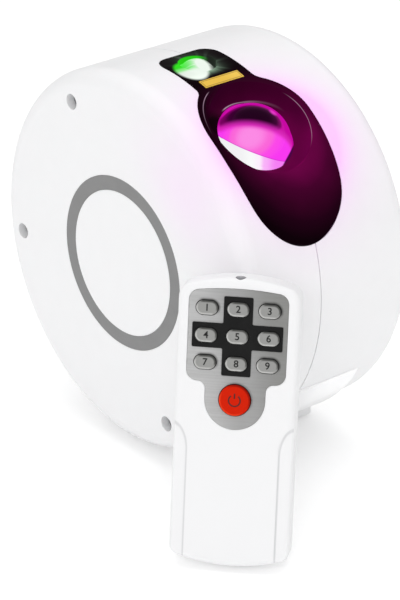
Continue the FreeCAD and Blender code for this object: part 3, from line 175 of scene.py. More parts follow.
def shellMaterial():
    # Satin white ABS of the drum, with the lamp's pink light round the aperture panel painted in: a pink tint
    # in its colour and a faint magenta emission.
    material, tree, shader = newMaterial("satinWhiteAbs", {
        "Base Color": linear("#F3F3F5"), "Roughness": 0.36, "IOR": 1.5, "Specular IOR Level": 0.4,
        "Subsurface Weight": 0.05, "Subsurface Radius": (0.004, 0.003, 0.003), "Subsurface Scale": 0.5})
    broad = addGrain(tree, shader, 0.35, 0.012, (0.35, 0.39))
    point = pointIn(tree, outFrame(beamAngle, beamX))
    # Painted light: the pink glow, strongest round the panel and fading outward over the drum's outer part.
    near = fading(tree, distanceFrom(tree, point, glow["centre"]), glow["start"], glow["fall"])
    outward = spread(tree, parts(tree, point)[2], 30.0, 62.0)
    lit = arithmetic(tree, "MULTIPLY", near, outward)
    colour = mixed(tree, lit, tinted(tree, broad, "#F1F1F2", "#F2F2F3"), glow["tint"])
    tree.links.new(colour, shader.inputs["Base Color"])
    shader.inputs["Emission Color"].default_value = (1, 0, 1, 1)
    tree.links.new(arithmetic(tree, "MULTIPLY", lit, glow["strength"]), shader.inputs["Emission Strength"])
    return material


cradlePaintedLight = {"gap": 83.45, "bright": 0.28, "lit": 0.12, "litFrom": 24.0, "litTo": 35.0}


def cradleMaterial():
    # The same satin white ABS on the stand's cradle, with painted light: white emission in its narrow gap
    # under the drum and in a band across its front.
    material, tree, shader = newMaterial("cradleWhiteAbs", {
        "Base Color": linear("#F5F5F6"), "IOR": 1.5, "Specular IOR Level": 0.4})
    addGrain(tree, shader, 0.35, 0.012, (0.35, 0.39))
    # Painted light: emission brightens the narrow gap between the cradle and the drum.
    fromAxis = distanceFrom(tree, pointIn(tree, outFrame(0, 0)), (0, 0, 0), (0, 1, 1))
    inGap = spread(tree, fromAxis, cradlePaintedLight["gap"] + 0.1, cradlePaintedLight["gap"], 0.0, cradlePaintedLight["bright"])
    x, y, height = parts(tree, pointIn(tree, Matrix.Identity(4)))
    # Painted light: a glowing band across the cradle's front, fading toward its left end and toward the
    # floor.
    inFront = arithmetic(tree, "MULTIPLY", spread(tree, y, -40.0, -60.0), spread(tree, x, -8.0, 14.0))
    lit = arithmetic(tree, "MULTIPLY", inFront,
                     spread(tree, height, cradlePaintedLight["litFrom"], cradlePaintedLight["litTo"], 0.0, cradlePaintedLight["lit"]))
    shader.inputs["Emission Color"].default_value = (1, 1, 1, 1)
    tree.links.new(arithmetic(tree, "MAXIMUM", lit, inGap), shader.inputs["Emission Strength"])
    return material


def plasticMaterial(name, darker, lighter, roughness, grain, bump, extra=None):
    # Moulded or painted plastic with a fine grain.
    values = {"Base Color": linear(lighter), "IOR": 1.5}
    values.update(extra or {})
    material, tree, shader = newMaterial(name, values)
    broad = addGrain(tree, shader, grain, bump, roughness)
    tree.links.new(tinted(tree, broad, darker, lighter), shader.inputs["Base Color"])
    return material


def metalMaterial(name, darker, lighter, roughness, scratch):
    # Metal with fine drawn or turned lines.
    material, tree, shader = newMaterial(name, {"Base Color": linear(lighter), "Metallic": 1.0})
    stretched = addNode(tree, "ShaderNodeMapping", {"Vector": objectPoint(tree), "Scale": (1, 1, 6)})
    broad = addGrain(tree, shader, scratch, 0.006, roughness, stretched.outputs["Vector"])
    tree.links.new(tinted(tree, broad, darker, lighter), shader.inputs["Base Color"])
    return material


def thinArc(tree, distance, radius, width, *masks):
    # A thin line at one distance, kept where every mask is 1.
    off = arithmetic(tree, "ABSOLUTE", arithmetic(tree, "SUBTRACT", distance, radius))
    line = spread(tree, off, width, 0.0)
    for mask in masks:
        line = arithmetic(tree, "MULTIPLY", line, mask)
    return line


laserGlow = {"star": (0.0, -3.1, 0), "spokes": 7, "core": 2.3, "fall": 1.7, "stretch": (1.0, 0.66, 0),
             "pool": (-6.9, -4.2, 0), "poolStretch": (1.0, 0.82, 0)}


def rays(tree, centre):
    # Spokes of light round a spot: a wave of the angle about it.
    x, y = parts(tree, pointIn(tree, outFrame(laserAngle, beamX)))[:2]
    angle = arithmetic(tree, "ARCTAN2", arithmetic(tree, "SUBTRACT", y, centre[1]),
                       arithmetic(tree, "SUBTRACT", x, centre[0]))
    wave = arithmetic(tree, "COSINE", arithmetic(tree, "MULTIPLY", angle, laserGlow["spokes"]))
    second = arithmetic(tree, "COSINE", arithmetic(tree, "MULTIPLY", angle, 2 * laserGlow["spokes"] + 3))
    return spread(tree, arithmetic(tree, "ADD", wave, second), -0.3, 2.0, 0.1, 1.0)


def starLight(tree, point):
    # The laser's light where it leaves, falling off unevenly along its spokes.
    star = distanceFrom(tree, point, laserGlow["star"], laserGlow["stretch"])
    even = fading(tree, star, laserGlow["core"], laserGlow["fall"])
    spoked = arithmetic(tree, "MULTIPLY", fading(tree, star, 3.2, 2.1), rays(tree, laserGlow["star"]))
    return arithmetic(tree, "MAXIMUM", even, arithmetic(tree, "MULTIPLY", spoked, 0.9))


panelGlow = {"centre": (5.5, -8.5, 0), "near": 12.0, "far": 48.0, "rim": "#640340",
             "rightHighlightArc": 23.1, "rimDepth": 82.2, "leftHighlightArc": 24.4, "domeHighlightArc": 18.2,
             "domeCentre": (3.5, -0.5, 0), "shade": (-11.0, 10.5, 72.0)}


def panelMaterial():
    # High-gloss black moulding, its colour given as emission, with painted light: the lamp's magenta spilling
    # over the bowl and fading down the tip, painted highlight arcs on the rims, a painted shadow left of the
    # dome, and the laser's painted flare and green-white pool.
    material, tree, shader = newMaterial("glossBlackPanel", {
        "Base Color": linear("#080105"), "Roughness": 0.09, "IOR": 1.47, "Specular IOR Level": 0.02})
    addGrain(tree, shader, 0.9, 0.003, (0.07, 0.14))
    point = pointIn(tree, outFrame(beamAngle, beamX))
    distance = distanceFrom(tree, point, panelGlow["centre"], (1.0, 0.86, 0))
    stops = [(0.0, panelGlow["rim"]), (0.12, "#48012D"), (0.3, "#34011F"), (0.5, "#1C0010"),
             (0.72, "#050002"), (1.0, "#010000")]
    spill = ramp(tree, spread(tree, distance, panelGlow["near"], panelGlow["far"]), stops, "LINEAR")
    streak = addNode(tree, "ShaderNodeTexNoise", {"Vector": objectPoint(tree), "Scale": 1 / (18.18 * mm),
                                                  "Detail": 1.5})
    uneven = spread(tree, streak.outputs["Fac"], 0.3, 0.75, 0.8, 1.15)
    x, y, z = parts(tree, point)
    behind = spread(tree, y, 34.0, 24.0)
    beside = pointIn(tree, outFrame(laserAngle, beamX))
    besideY, besideZ = parts(tree, beside)[1:]
    # Painted light: the laser's flare with spokes, and its green-white pool on the panel and the pocket
    # walls.
    flare = arithmetic(tree, "MULTIPLY", starLight(tree, beside), spread(tree, besideY, -12.5, -8.0))
    pool = spread(tree, distanceFrom(tree, beside, laserGlow["pool"], laserGlow["poolStretch"]), 7.4, 5.6)
    sunk = arithmetic(tree, "MULTIPLY", spread(tree, besideZ, 82.7, 82.0),
                      spread(tree, planeHeight(tree, beside, (0.7, -0.3, 0.0), 0.0), 5.0, 1.0))
    sunk = arithmetic(tree, "MULTIPLY", sunk, spread(tree, distanceFrom(tree, beside, (0, 0, 0)), 11.0, 9.0))
    poolColour = ramp(tree, spread(tree, besideY, 1.0, -6.0),
                      [(0.0, "#2EDC1A"), (0.45, "#8CF084"), (1.0, "#EEF8EE")])
    fromBowl = distanceFrom(tree, point, (0, 0, 0))
    turned = arithmetic(tree, "DIVIDE", y, fromBowl)
    rightSide = arithmetic(tree, "ABSOLUTE", arithmetic(tree, "ADD", turned, 0.12))
    onRim = arithmetic(tree, "ABSOLUTE", arithmetic(tree, "SUBTRACT", fromBowl, panelGlow["rightHighlightArc"]))
    # Painted highlights: thin pale arcs along the bowl's rims and round the dome.
    rightHighlightArc = thinArc(tree, distanceFrom(tree, point, (0, 0, 0), (0, 1, 1)), panelGlow["rimDepth"], 0.32,
                       spread(tree, onRim, 0.6, 0.3), spread(tree, x, 10.0, 19.0, 0.0, 0.5),
                       spread(tree, rightSide, 0.62, 0.3))
    leftHighlightArc = thinArc(tree, fromBowl, panelGlow["leftHighlightArc"], 0.28, spread(tree, x, -10.0, -13.0),
                      spread(tree, turned, 0.0, 0.85, 0.0, 0.5))
    fromDome = distanceFrom(tree, point, panelGlow["domeCentre"])
    domeHighlightArc = thinArc(tree, fromDome, panelGlow["domeHighlightArc"], 0.45, spread(tree, y, 4.0, 16.0),
                      spread(tree, z, 76.0, 75.0), spread(tree, x, 17.0, -1.0, 0.1, 0.6),
                      spread(tree, x, -4.5, -1.5))
    # Painted shadow: near black on the ledge to the left of the dome.
    shade = spread(tree, distanceFrom(tree, point, panelGlow["shade"], (1, 1, 0.5)), 8.5, 3.0, 0.0, 0.9)
    spill = mixed(tree, shade, spill, "#040002")
    line = arithmetic(tree, "MAXIMUM", arithmetic(tree, "MAXIMUM", rightHighlightArc, leftHighlightArc), domeHighlightArc)
    spill = mixed(tree, line, spill, "#DCB4D0")
    colour = mixed(tree, flare, mixed(tree, behind, "#030001", spill), "#C4F0CC")
    colour = mixed(tree, arithmetic(tree, "MAXIMUM", pool, sunk), colour, poolColour)
    tree.links.new(colour, shader.inputs["Emission Color"])
    tree.links.new(uneven, shader.inputs["Emission Strength"])
    return material


# The pattern that the lamp throws through the dome, in mm along the beam's own directions.
lensPattern = {"capPlane": ((0.595, 0.788, 0.158), 11.03), "footPlane": ((0.42, 0.443, 0.792), 54.19),
               "cutPlane": ((0.551, -0.834, 0.021), 18.07), "darkSpot": (-0.6, 3.5, 84.0),
               "alongSpot": (0.75, -0.66, 0.0), "acrossSpot": (0.66, 0.75, 0.0),
               "alongShare": 0.128, "acrossShare": 0.215,
               "glint": (8.4, 2.6, 83.0), "bandSpot": (-7.2, -3.6, 81.0)}


def lensMaterial():
    # Polished acrylic dome: a dark purple cap, a broad pink band under it and a white crescent at its foot.
    material, tree, shader = newMaterial("polishedAcrylicLens", {
        "Base Color": linear("#0A0008"), "Roughness": 0.04, "IOR": 1.49, "Specular IOR Level": 0.04})
    point = pointIn(tree, outFrame(beamAngle, beamX))
    overCap = planeHeight(tree, point, *lensPattern["capPlane"])
    overFoot = planeHeight(tree, point, *lensPattern["footPlane"])
    overCut = planeHeight(tree, point, *lensPattern["cutPlane"])
    spot = Vector(lensPattern["darkSpot"])
    along, across = [planeHeight(tree, point, lensPattern[key], spot.dot(Vector(lensPattern[key])))
                     for key in ("alongSpot", "acrossSpot")]
    squares = [arithmetic(tree, "POWER", arithmetic(tree, "MULTIPLY", way, share), 2.0)
               for way, share in ((along, lensPattern["alongShare"]), (across, lensPattern["acrossShare"]))]
    fromSpot = arithmetic(tree, "ADD", *squares)
    cap = ramp(tree, spread(tree, fromSpot, 0.1, 3.4),
               [(0.0, "#1E0018"), (0.28, "#3A0130"), (0.6, "#78035F"), (0.85, "#CC06A6"), (1.0, "#C80AA4")])
    # Painted highlight: a bright pink glint on the cap.
    glint = spread(tree, distanceFrom(tree, point, lensPattern["glint"], (1, 1, 1)), 2.6, 0.4, 0.0, 0.85)
    cap = mixed(tree, glint, cap, "#F03CD2")
    fromBand = distanceFrom(tree, point, lensPattern["bandSpot"], (0.72, 1, 1))
    band = ramp(tree, spread(tree, fromBand, 1.0, 14.0),
                [(0.0, "#FF8CE8"), (0.4, "#FE68DC"), (0.7, "#FF48EC"), (1.0, "#FB3AF4")])
    band = mixed(tree, spread(tree, overCap, -2.6, 0.0), band, "#E02CC0")
    foot = ramp(tree, spread(tree, parts(tree, point)[0], -13.5, 4.0),
                [(0.0, "#F4F4F6"), (0.2, "#FCFEFD"), (0.4, "#FFF4FF"), (0.6, "#FCB4FC"), (1.0, "#F880F8")])
    colour = mixed(tree, spread(tree, overCap, 3.0, -1.3), cap, band)
    edge = spread(tree, arithmetic(tree, "ABSOLUTE", overFoot), 0.45, 0.15, 0.0, 0.7)
    colour = mixed(tree, spread(tree, overFoot, 0.1, -0.15), mixed(tree, edge, colour, "#C832C8"), foot)
    colour = mixed(tree, spread(tree, overCut, -0.3, 0.3), colour, "#4A0242")
    tree.links.new(colour, shader.inputs["Emission Color"])
    shader.inputs["Emission Strength"].default_value = 0.97
    return material


def windowMaterial():
    # Small acrylic dome over the laser: green on its left, white round the spot where the beam leaves.
    material, tree, shader = newMaterial("laserWindowAcrylic", {
        "Base Color": linear("#06200A"), "Roughness": 0.05, "IOR": 1.49, "Specular IOR Level": 0.1})
    point = pointIn(tree, outFrame(laserAngle, beamX))
    bright = starLight(tree, point)
    lower = spread(tree, planeHeight(tree, point, (-0.5, -0.86, 0.0), 0.0), 2.4, 5.4)
    left = ramp(tree, spread(tree, planeHeight(tree, point, (0.8, -0.6, 0.0), 0.0), -2.0, 5.5),
                [(0.0, "#24E802"), (0.35, "#34D01C"), (0.7, "#1C6A1C"), (1.0, "#061A08")])
    colour = mixed(tree, arithmetic(tree, "MAXIMUM", bright, lower, clamp=True), left, "#F2FBF2")
    tree.links.new(colour, shader.inputs["Emission Color"])
    shader.inputs["Emission Strength"].default_value = 0.96
    return material


def clearMaterial(name, tint):
    # Clear moulded acrylic with faint ripples.
    material, tree, shader = newMaterial(name, {
        "Base Color": linear(tint), "Roughness": 0.06, "IOR": 1.49, "Transmission Weight": 0.85})
    addGrain(tree, shader, 2.5, 0.08, (0.04, 0.1))
    return material


# How the handset stands: its foot on the floor, turned to the left and leaning back.
handset = {"foot": Vector((-76.6911, -107.5523, 3.1405)) * mm, "heading": 48.44, "lean": 15.05,
           "pitchX": 12.41, "pitchZ": 10.92, "bottomRow": 82.9, "keyRow": 1.5, "keyRadius": 2.85,
           "keyProud": 0.75, "powerRow": 68.3, "powerRadius": 6.3, "powerProud": 1.2, "plateDepth": 0.1,
           "halfWidth": 24.1, "gripWidth": 5.8, "gripBend": 12.0, "gripStart": 46.0}
remoteFrame = (Matrix.Translation(handset["foot"])
               @ Matrix.Rotation(math.radians(-handset["heading"]), 4, "Z")
               @ Matrix.Rotation(math.radians(-handset["lean"]), 4, "X"))


def insideCell(tree, value, start, pitch):
    # How far a point lies from the middle of its own cell in a row of equal ones.
    shifted = arithmetic(tree, "DIVIDE", arithmetic(tree, "SUBTRACT", value, start), pitch)
    centred = arithmetic(tree, "SUBTRACT", arithmetic(tree, "FRACT", shifted), 0.5)
    return arithmetic(tree, "MULTIPLY", centred, pitch)


def reach(tree, across, up, row):
    # Distance from a key's middle line, and how far that way slants to the upper right, from -1 to 1.
    held = arithmetic(tree, "MAXIMUM", arithmetic(tree, "MINIMUM", across, row), -row)
    across = arithmetic(tree, "SUBTRACT", across, held)
    distance = arithmetic(tree, "SQRT", arithmetic(tree, "ADD", arithmetic(tree, "POWER", across, 2.0),
                                                   arithmetic(tree, "POWER", up, 2.0)))
    slant = arithmetic(tree, "DIVIDE", arithmetic(tree, "ADD", across, up), distance)
    return distance, arithmetic(tree, "MULTIPLY", slant, 0.7071)


def keyReach(tree, point):
    x, z = parts(tree, point)[::2]
    across = insideCell(tree, x, -1.5 * handset["pitchX"], handset["pitchX"])
    up = insideCell(tree, z, handset["bottomRow"] - 0.5 * handset["pitchZ"], handset["pitchZ"])
    return reach(tree, across, up, handset["keyRow"])


def powerReach(tree, point):
    x, z = parts(tree, point)[::2]
    return reach(tree, x, arithmetic(tree, "SUBTRACT", z, handset["powerRow"]), 0.0)


def plateMaterial():
    # Silver-grey paint with fine brush lines, darker toward its right, with painted shade: near black inside
    # the key holes and a painted shadow round each key's upper right.
    material, tree, shader = newMaterial("silverGreyPaint", {
        "Base Color": linear("#B5B7B7"), "IOR": 1.5, "Metallic": 0.15})
    addGrain(tree, shader, 0.25, 0.012, (0.38, 0.5))
    point = pointIn(tree, remoteFrame)
    across = planeHeight(tree, point, (0.97, 0.0, 0.14), 12.6)
    colour = ramp(tree, spread(tree, across, -22.0, 22.0),
                  [(0.0, "#BEBEBE"), (0.5, "#A6A6A6"), (1.0, "#8C8C8A")])
    brushed = addNode(tree, "ShaderNodeMapping", {"Vector": point, "Scale": (0.03, 0.4, 1.6)})
    streak = addNode(tree, "ShaderNodeTexNoise", {"Vector": brushed.outputs["Vector"], "Scale": 1.0,
                                                  "Detail": 4.0})
    colour = mixed(tree, spread(tree, streak.outputs["Fac"], 0.35, 0.7, 0.0, 0.16), colour, "#6E6E6C")
    lowest = handset["bottomRow"] - 0.5 * handset["pitchZ"]
    inRows = spread(tree, parts(tree, point)[2], lowest, lowest + 0.4)
    # Painted shadow: dark round the upper right of each key and of the round key.
    shades = ((keyReach(tree, point), handset["keyRadius"], inRows),
              (powerReach(tree, point), handset["powerRadius"], 0.6))
    for (distance, slant), radius, strength in shades:
        soft = arithmetic(tree, "MULTIPLY", spread(tree, distance, radius + 1.3, radius + 0.2, 0.0, 0.8),
                          spread(tree, slant, -0.1, 0.8))
        colour = mixed(tree, arithmetic(tree, "MULTIPLY", soft, strength), colour, "#20201E")
    # Painted shade: near black on the walls inside the key holes.
    holeShade = spread(tree, parts(tree, point)[1], handset["plateDepth"], handset["plateDepth"] + 0.2)
    tree.links.new(mixed(tree, holeShade, colour, "#1C1C1C"), shader.inputs["Base Color"])
    return material


def keyMaterial(name, reachOf, radius, proud, colours, extra):
    # Silicone key: plain face, with painted light: a painted highlight on the rim to the lower left, painted
    # shade on the rim to the upper right and at its root.
    face, highlightRim, shadedRim, shadedRoot = colours
    values = {"Base Color": linear(face), "IOR": 1.43}
    values.update(extra)
    material, tree, shader = newMaterial(name, values)
    addGrain(tree, shader, 0.3, 0.012, (0.45, 0.58))
    point = pointIn(tree, remoteFrame)
    distance, slant = reachOf(tree, point)
    rim = spread(tree, distance, radius - 1.0, radius - 0.35)
    colour = mixed(tree, arithmetic(tree, "MULTIPLY", rim, spread(tree, slant, 0.1, 0.7)), face, shadedRim)
    colour = mixed(tree, arithmetic(tree, "MULTIPLY", rim, spread(tree, slant, -0.1, -0.7)), colour, highlightRim)
    below = spread(tree, parts(tree, point)[1], -0.55 * proud, 0.1)
    tree.links.new(mixed(tree, below, colour, shadedRoot), shader.inputs["Base Color"])
    return material


def remoteShellMaterial():
    # Satin white ABS of the handset, with a painted shade line where the grip steps down.
    material, tree, shader = newMaterial("handsetWhiteAbs", {
        "Base Color": linear("#EEEEEF"), "IOR": 1.5, "Specular IOR Level": 0.4})
    addGrain(tree, shader, 0.35, 0.014, (0.36, 0.4))
    x, y, z = parts(tree, pointIn(tree, remoteFrame))
    side = arithmetic(tree, "SUBTRACT", handset["halfWidth"], arithmetic(tree, "ABSOLUTE", x))
    side = arithmetic(tree, "POWER", arithmetic(tree, "DIVIDE", side, handset["gripWidth"]), 2.0)
    above = arithmetic(tree, "MAXIMUM", arithmetic(tree, "SUBTRACT", z, handset["gripStart"]), 0.0)
    above = arithmetic(tree, "POWER", arithmetic(tree, "DIVIDE", above, handset["gripBend"]), 2.0)
    bend = arithmetic(tree, "SUBTRACT", arithmetic(tree, "SQRT", arithmetic(tree, "ADD", side, above)), 1.0)
    fromBend = arithmetic(tree, "ABSOLUTE", arithmetic(tree, "ADD", bend, 0.04))
    # Painted shade: a thin grey line along the grip's step, on the front only.
    line = spread(tree, fromBend, 0.1, 0.02, 0.0, 0.5)
    front = spread(tree, y, 1.6, 0.9)
    colour = mixed(tree, arithmetic(tree, "MULTIPLY", line, front), "#EEEEEF", "#C6C6C8")
    tree.links.new(colour, shader.inputs["Base Color"])
    return material


film = {"arcMiddle": 15.35, "halfLength": 9.8, "halfWidth": 2.1, "x": -8.7, "border": 0.3}


def stripMaterial():
    # Yellow film with a thin dark printed border and nothing else.
    material, tree, shader = newMaterial("yellowFilm", {"Base Color": linear("#E4BE4C"), "IOR": 1.5})
    broad = addGrain(tree, shader, 0.6, 0.004, (0.3, 0.42))
    x, y = parts(tree, pointIn(tree, outFrame(film["arcMiddle"], film["x"] * mm)))[:2]
    inX = arithmetic(tree, "SUBTRACT", film["halfLength"], arithmetic(tree, "ABSOLUTE", x))
    inY = arithmetic(tree, "SUBTRACT", film["halfWidth"], arithmetic(tree, "ABSOLUTE", y))
    inside = arithmetic(tree, "MINIMUM", inX, inY)
    fromBorder = arithmetic(tree, "ABSOLUTE", arithmetic(tree, "SUBTRACT", inside, film["border"]))
    line = spread(tree, fromBorder, 0.3, 0.1, 0.0, 0.6)
    colour = mixed(tree, line, tinted(tree, broad, "#E6B93E", "#EFC54C"), "#5A4410")
    tree.links.new(colour, shader.inputs["Base Color"])
    return material


materials = {
    "shell_white": shellMaterial(),
    "ring_grey": plasticMaterial("satinGreyAbs", "#7C7C7C", "#828282", (0.34, 0.44), 0.3, 0.008),
    "panel_black": panelMaterial(),
    "strip_yellow": stripMaterial(),
    "lens_acrylic": lensMaterial(),
    "window_acrylic": windowMaterial(),
    "screw_steel": metalMaterial("zincPlatedSteel", "#6E6E72", "#A4A4A8", (0.28, 0.42), 0.5),
    "frame_black": plasticMaterial("blackGlassFilledNylon", "#141416", "#1E1E21", (0.5, 0.62), 0.25, 0.02),
    "heatsink_aluminium": metalMaterial("extrudedAluminium", "#B4B6BA", "#CFD1D4", (0.3, 0.45), 0.4),
    "board_green": plasticMaterial("greenSolderResist", "#0B4A22", "#126332", (0.22, 0.32), 0.8, 0.01),
    "board_white": plasticMaterial("whiteSolderResist", "#DEDEDA", "#EDEDE9", (0.25, 0.35), 0.8, 0.01),
    "led_ceramic": plasticMaterial("phosphorCeramic", "#EADC7C", "#F5EBA4", (0.4, 0.55), 0.3, 0.01),
    "wheel_acrylic": clearMaterial("rippledAcrylic", "#EEF3FA"),
    "pinion_brass": metalMaterial("turnedBrass", "#A8803A", "#C79B52", (0.25, 0.38), 0.3),
    "motor_steel": metalMaterial("drawnSteelCan", "#8E8E92", "#ABABAF", (0.3, 0.42), 0.5),
    "laser_brass": metalMaterial("satinBrass", "#A37C38", "#BF9650", (0.28, 0.4), 0.3),
    "part_black": plasticMaterial("blackPhenolic", "#121212", "#1B1B1B", (0.4, 0.55), 0.3, 0.01),
    "switch_grey": plasticMaterial("greyNylon", "#3C3C40", "#4A4A4E", (0.45, 0.55), 0.3, 0.01),
    "button_white": plasticMaterial("buttonWhiteAbs", "#E0E0E4", "#EAEAEC", (0.3, 0.4), 0.3, 0.01),
    "pad_rubber": plasticMaterial("softBlackRubber", "#1A1A1B", "#242425", (0.72, 0.85), 0.4, 0.04),
    "remote_white": remoteShellMaterial(),
    "plate_grey": plateMaterial(),
    "cross_black": plasticMaterial("blackFilm", "#0E0E0E", "#151515", (0.4, 0.5), 0.3, 0.006,
                                   {"Specular IOR Level": 0.25}),
    "key_grey": keyMaterial("greySilicone", keyReach, handset["keyRadius"], handset["keyProud"],
                            ("#949492", "#B8B8B6", "#4C4C4A", "#161616"), {"Specular IOR Level": 0.3}),
    "key_red": keyMaterial("redSilicone", powerReach, handset["powerRadius"], handset["powerProud"],
                           ("#CC1E00", "#E8401C", "#981200", "#300400"), {"Specular IOR Level": 0.1}),
    "mat_rubber": plasticMaterial("contactRubber", "#4A4A4A", "#595959", (0.6, 0.72), 0.4, 0.02),
    "emitter_dark": plasticMaterial("clearEpoxy", "#86868A", "#A0A0A4", (0.08, 0.16), 0.8, 0.002),
    "cell_jacket": plasticMaterial("printedCellJacket", "#2C4F8E", "#3A5F9E", (0.22, 0.32), 0.8, 0.004),
    "contact_nickel": metalMaterial("nickelPlatedSpring", "#A8A49C", "#C4C0B8", (0.22, 0.34), 0.4),
}
slotOf = {entry["node"]: entry["material_slot"] for entry in frame["record"]["subparts"]}


def smoothShade(item, angle=32):
    # Smooth shading with real edges kept sharp.
    for polygon in item.data.polygons:
        polygon.use_smooth = True
    item.data.set_sharp_from_angle(angle=math.radians(angle))


ownMaterial = {"foot_cradle": cradleMaterial()}
for name, item in nodes.items():
    item.data.materials.clear()
    item.data.materials.append(ownMaterial.get(name, materials[slotOf[name]]))
    smoothShade(item)
print("materials on", len(nodes), "nodes")


# Legends on the handset's keys: plain numbers, and a power sign on the round key.
legendPiece = {"size": 4.0, "weight": 0.06, "depth": 0.02, "lift": 0.012, "ring": 2.3, "stroke": 0.6,
               "opening": 38, "barFoot": 0.7, "barTop": 2.9}
faceUp = Matrix.Rotation(math.radians(90), 4, "X")


def legendMaterial(name, darker, lighter):
    return plasticMaterial(name, darker, lighter, (0.45, 0.6), 0.3, 0.004)


legendInk = {"key_grey": legendMaterial("blackInk", "#0A0A0A", "#141414"),
             "key_red": legendMaterial("maroonInk", "#4A0600", "#5C0A02")}


def legend(name, mesh, place, body, slotName):
    item = bpy.data.objects.new(name, mesh)
    mesh.transform(place)
    bpy.context.scene.collection.objects.link(item)
    mesh.materials.clear()
    mesh.materials.append(legendInk[slotName])
    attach(item, body)
    return item


def numberMesh(text, size):
    curve = bpy.data.curves.new("digit" + text, "FONT")
    curve.body = text
    curve.size = size * mm
    curve.align_x = "CENTER"
    curve.align_y = "CENTER"
    curve.extrude = legendPiece["depth"] * mm
    curve.offset = legendPiece["weight"] * mm
    curve.resolution_u = 6
    holder = bpy.data.objects.new("digitHolder", curve)
    bpy.context.scene.collection.objects.link(holder)
    bpy.context.view_layer.update()
    mesh = bpy.data.meshes.new_from_object(holder)
    bpy.data.objects.remove(holder)
    return mesh


for number in range(1, 10):
    row, column = divmod(number - 1, 3)
    spot = Vector(((column - 1) * handset["pitchX"], -handset["keyProud"] - legendPiece["lift"],
                   handset["bottomRow"] + (2 - row) * handset["pitchZ"])) * mm
    digit = numberMesh(str(number), legendPiece["size"])
    place = remoteFrame @ Matrix.Translation(spot) @ faceUp
    legend(f"key_{number}_legend", digit, place, f"key_{number}", "key_grey")


def powerSign():
    # A ring open at its top, with a bar in the gap.
    shape = bmesh.new()
    half = legendPiece["stroke"] / 2
    opening = math.radians(legendPiece["opening"])
    start = Matrix.Rotation(math.pi / 2 + opening, 4, "Z")
    ends = [shape.verts.new(start @ Vector((radius * mm, 0, 0)))
            for radius in (legendPiece["ring"] - half, legendPiece["ring"] + half)]
    edge = shape.edges.new(ends)
    bmesh.ops.spin(shape, geom=ends + [edge], cent=(0, 0, 0), axis=(0, 0, 1),
                   angle=math.tau - 2 * opening, steps=40)
    middle = (legendPiece["barFoot"] + legendPiece["barTop"]) / 2
    bar = Matrix.Translation((0, middle * mm, 0)) @ Matrix.Diagonal(
        (legendPiece["stroke"] * mm, (legendPiece["barTop"] - legendPiece["barFoot"]) * mm, 1, 1))
    bmesh.ops.create_grid(shape, x_segments=1, y_segments=1, size=0.5, matrix=bar)
    bmesh.ops.solidify(shape, geom=shape.faces[:], thickness=legendPiece["depth"] * mm)
    bmesh.ops.recalc_face_normals(shape, faces=shape.faces)
    mesh = bpy.data.meshes.new("powerSign")
    shape.to_mesh(mesh)
    shape.free()
    return mesh


powerSpot = Vector((0, -handset["powerProud"] - legendPiece["lift"], handset["powerRow"])) * mm
powerPlace = remoteFrame @ Matrix.Translation(powerSpot) @ faceUp
legend("power_key_legend", powerSign(), powerPlace, "power_key", "key_red")
print("legends done")

# Pale floor
floorPiece = {"half": 6.0, "height": -0.0001}
floorMesh = bpy.data.meshes.new("floor")
sheet = bmesh.new()
bmesh.ops.create_grid(sheet, x_segments=1, y_segments=1, size=floorPiece["half"],
                      matrix=Matrix.Translation((0, 0, floorPiece["height"])))
sheet.to_mesh(floorMesh)
sheet.free()
floor = bpy.data.objects.new("floor", floorMesh)
bpy.context.scene.collection.objects.link(floor)
# The camera sees a lighter floor than the object does, so that the undersides stay in shade.
floorLook = {"seen": "#F6F6F6", "felt": "#F6F6F6", "lift": 0.21, "bounce": 0.12}
floorMaterial, floorTree, floorShader = newMaterial("paleFloor", {
    "Base Color": linear(floorLook["seen"]), "Roughness": 0.9, "Specular IOR Level": 0.1})
straight = addNode(floorTree, "ShaderNodeLightPath").outputs["Is Camera Ray"]
floorTree.links.new(mixed(floorTree, straight, floorLook["felt"], floorLook["seen"]),
                    floorShader.inputs["Base Color"])
floorShader.inputs["Emission Color"].default_value = (1, 1, 1, 1)
lifted = addNode(floorTree, "ShaderNodeMix", {0: straight, 2: floorLook["bounce"],
                                              3: floorLook["lift"]})
floorTree.links.new(lifted.outputs[0], floorShader.inputs["Emission Strength"])
floorMesh.materials.append(floorMaterial)
print("floor done")

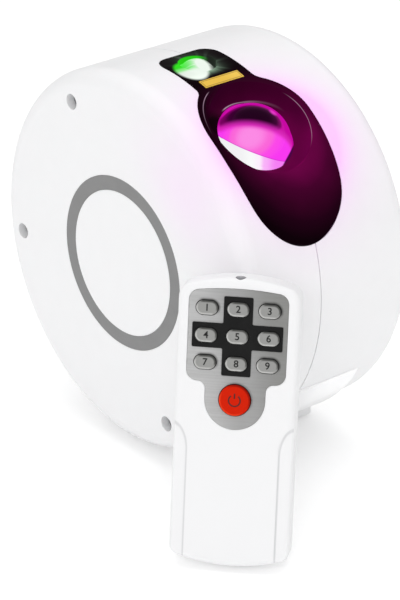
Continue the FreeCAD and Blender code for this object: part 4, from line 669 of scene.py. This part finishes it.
# Soft studio light: white surroundings for the camera, softer ones for the object and its reflections
studio = {"ambient": 0.68, "mirrored": 0.3, "seen": 1.0}
world = bpy.data.worlds.new("studio")
bpy.context.scene.world = world
world.use_nodes = True
worldTree = world.node_tree
worldTree.nodes.clear()
path = addNode(worldTree, "ShaderNodeLightPath")
strength = arithmetic(worldTree, "MAXIMUM",
                      arithmetic(worldTree, "MULTIPLY", path.outputs["Is Camera Ray"], studio["seen"]),
                      arithmetic(worldTree, "MULTIPLY", path.outputs["Is Transmission Ray"], studio["seen"]))
soft = addNode(worldTree, "ShaderNodeMix", {0: path.outputs["Is Glossy Ray"], 2: studio["ambient"],
                                            3: studio["mirrored"]}).outputs[0]
strength = arithmetic(worldTree, "MAXIMUM", strength, soft)
surround = addNode(worldTree, "ShaderNodeBackground", {"Color": (1, 1, 1, 1), "Strength": strength})
addNode(worldTree, "ShaderNodeOutputWorld", {"Surface": surround.outputs[0]})


def softLight(name, size, power, place, target):
    data = bpy.data.lights.new(name, "AREA")
    data.shape = "RECTANGLE"
    data.size, data.size_y = size
    data.energy = power
    lamp = bpy.data.objects.new(name, data)
    bpy.context.scene.collection.objects.link(lamp)
    lamp.location = place
    lamp.rotation_euler = (Vector(target) - Vector(place)).to_track_quat("-Z", "Y").to_euler()
    lamp.visible_glossy = False
    return lamp


softLight("keyLight", (0.8, 0.8), 5.9, (-1.1, -0.9, 0.9), (0, 0, 0.08))
softLight("topLight", (2.0, 2.0), 14.3, (0.2, 0.1, 2.0), (0, 0, 0.08))

print("lights done")

# Camera at the photograph's place
view = {"place": Vector((-0.7022, -0.8458, 0.5943)), "forward": Vector((0.573, 0.692, -0.439)),
        "right": Vector((0.770, -0.638, 0)), "lens": 170, "sensor": 36}
forward = view["forward"].normalized()
right = (view["right"] - forward * view["right"].dot(forward)).normalized()
up = right.cross(forward)
cameraData = bpy.data.cameras.new("camera")
cameraData.lens = view["lens"]
cameraData.sensor_width = view["sensor"]
camera = bpy.data.objects.new("camera", cameraData)
bpy.context.scene.collection.objects.link(camera)
turn = Matrix((right, up, -forward)).transposed().to_4x4()
camera.matrix_world = Matrix.Translation(view["place"]) @ turn
bpy.context.scene.camera = camera
bpy.context.scene.view_settings.view_transform = "Standard"

print("scene done")
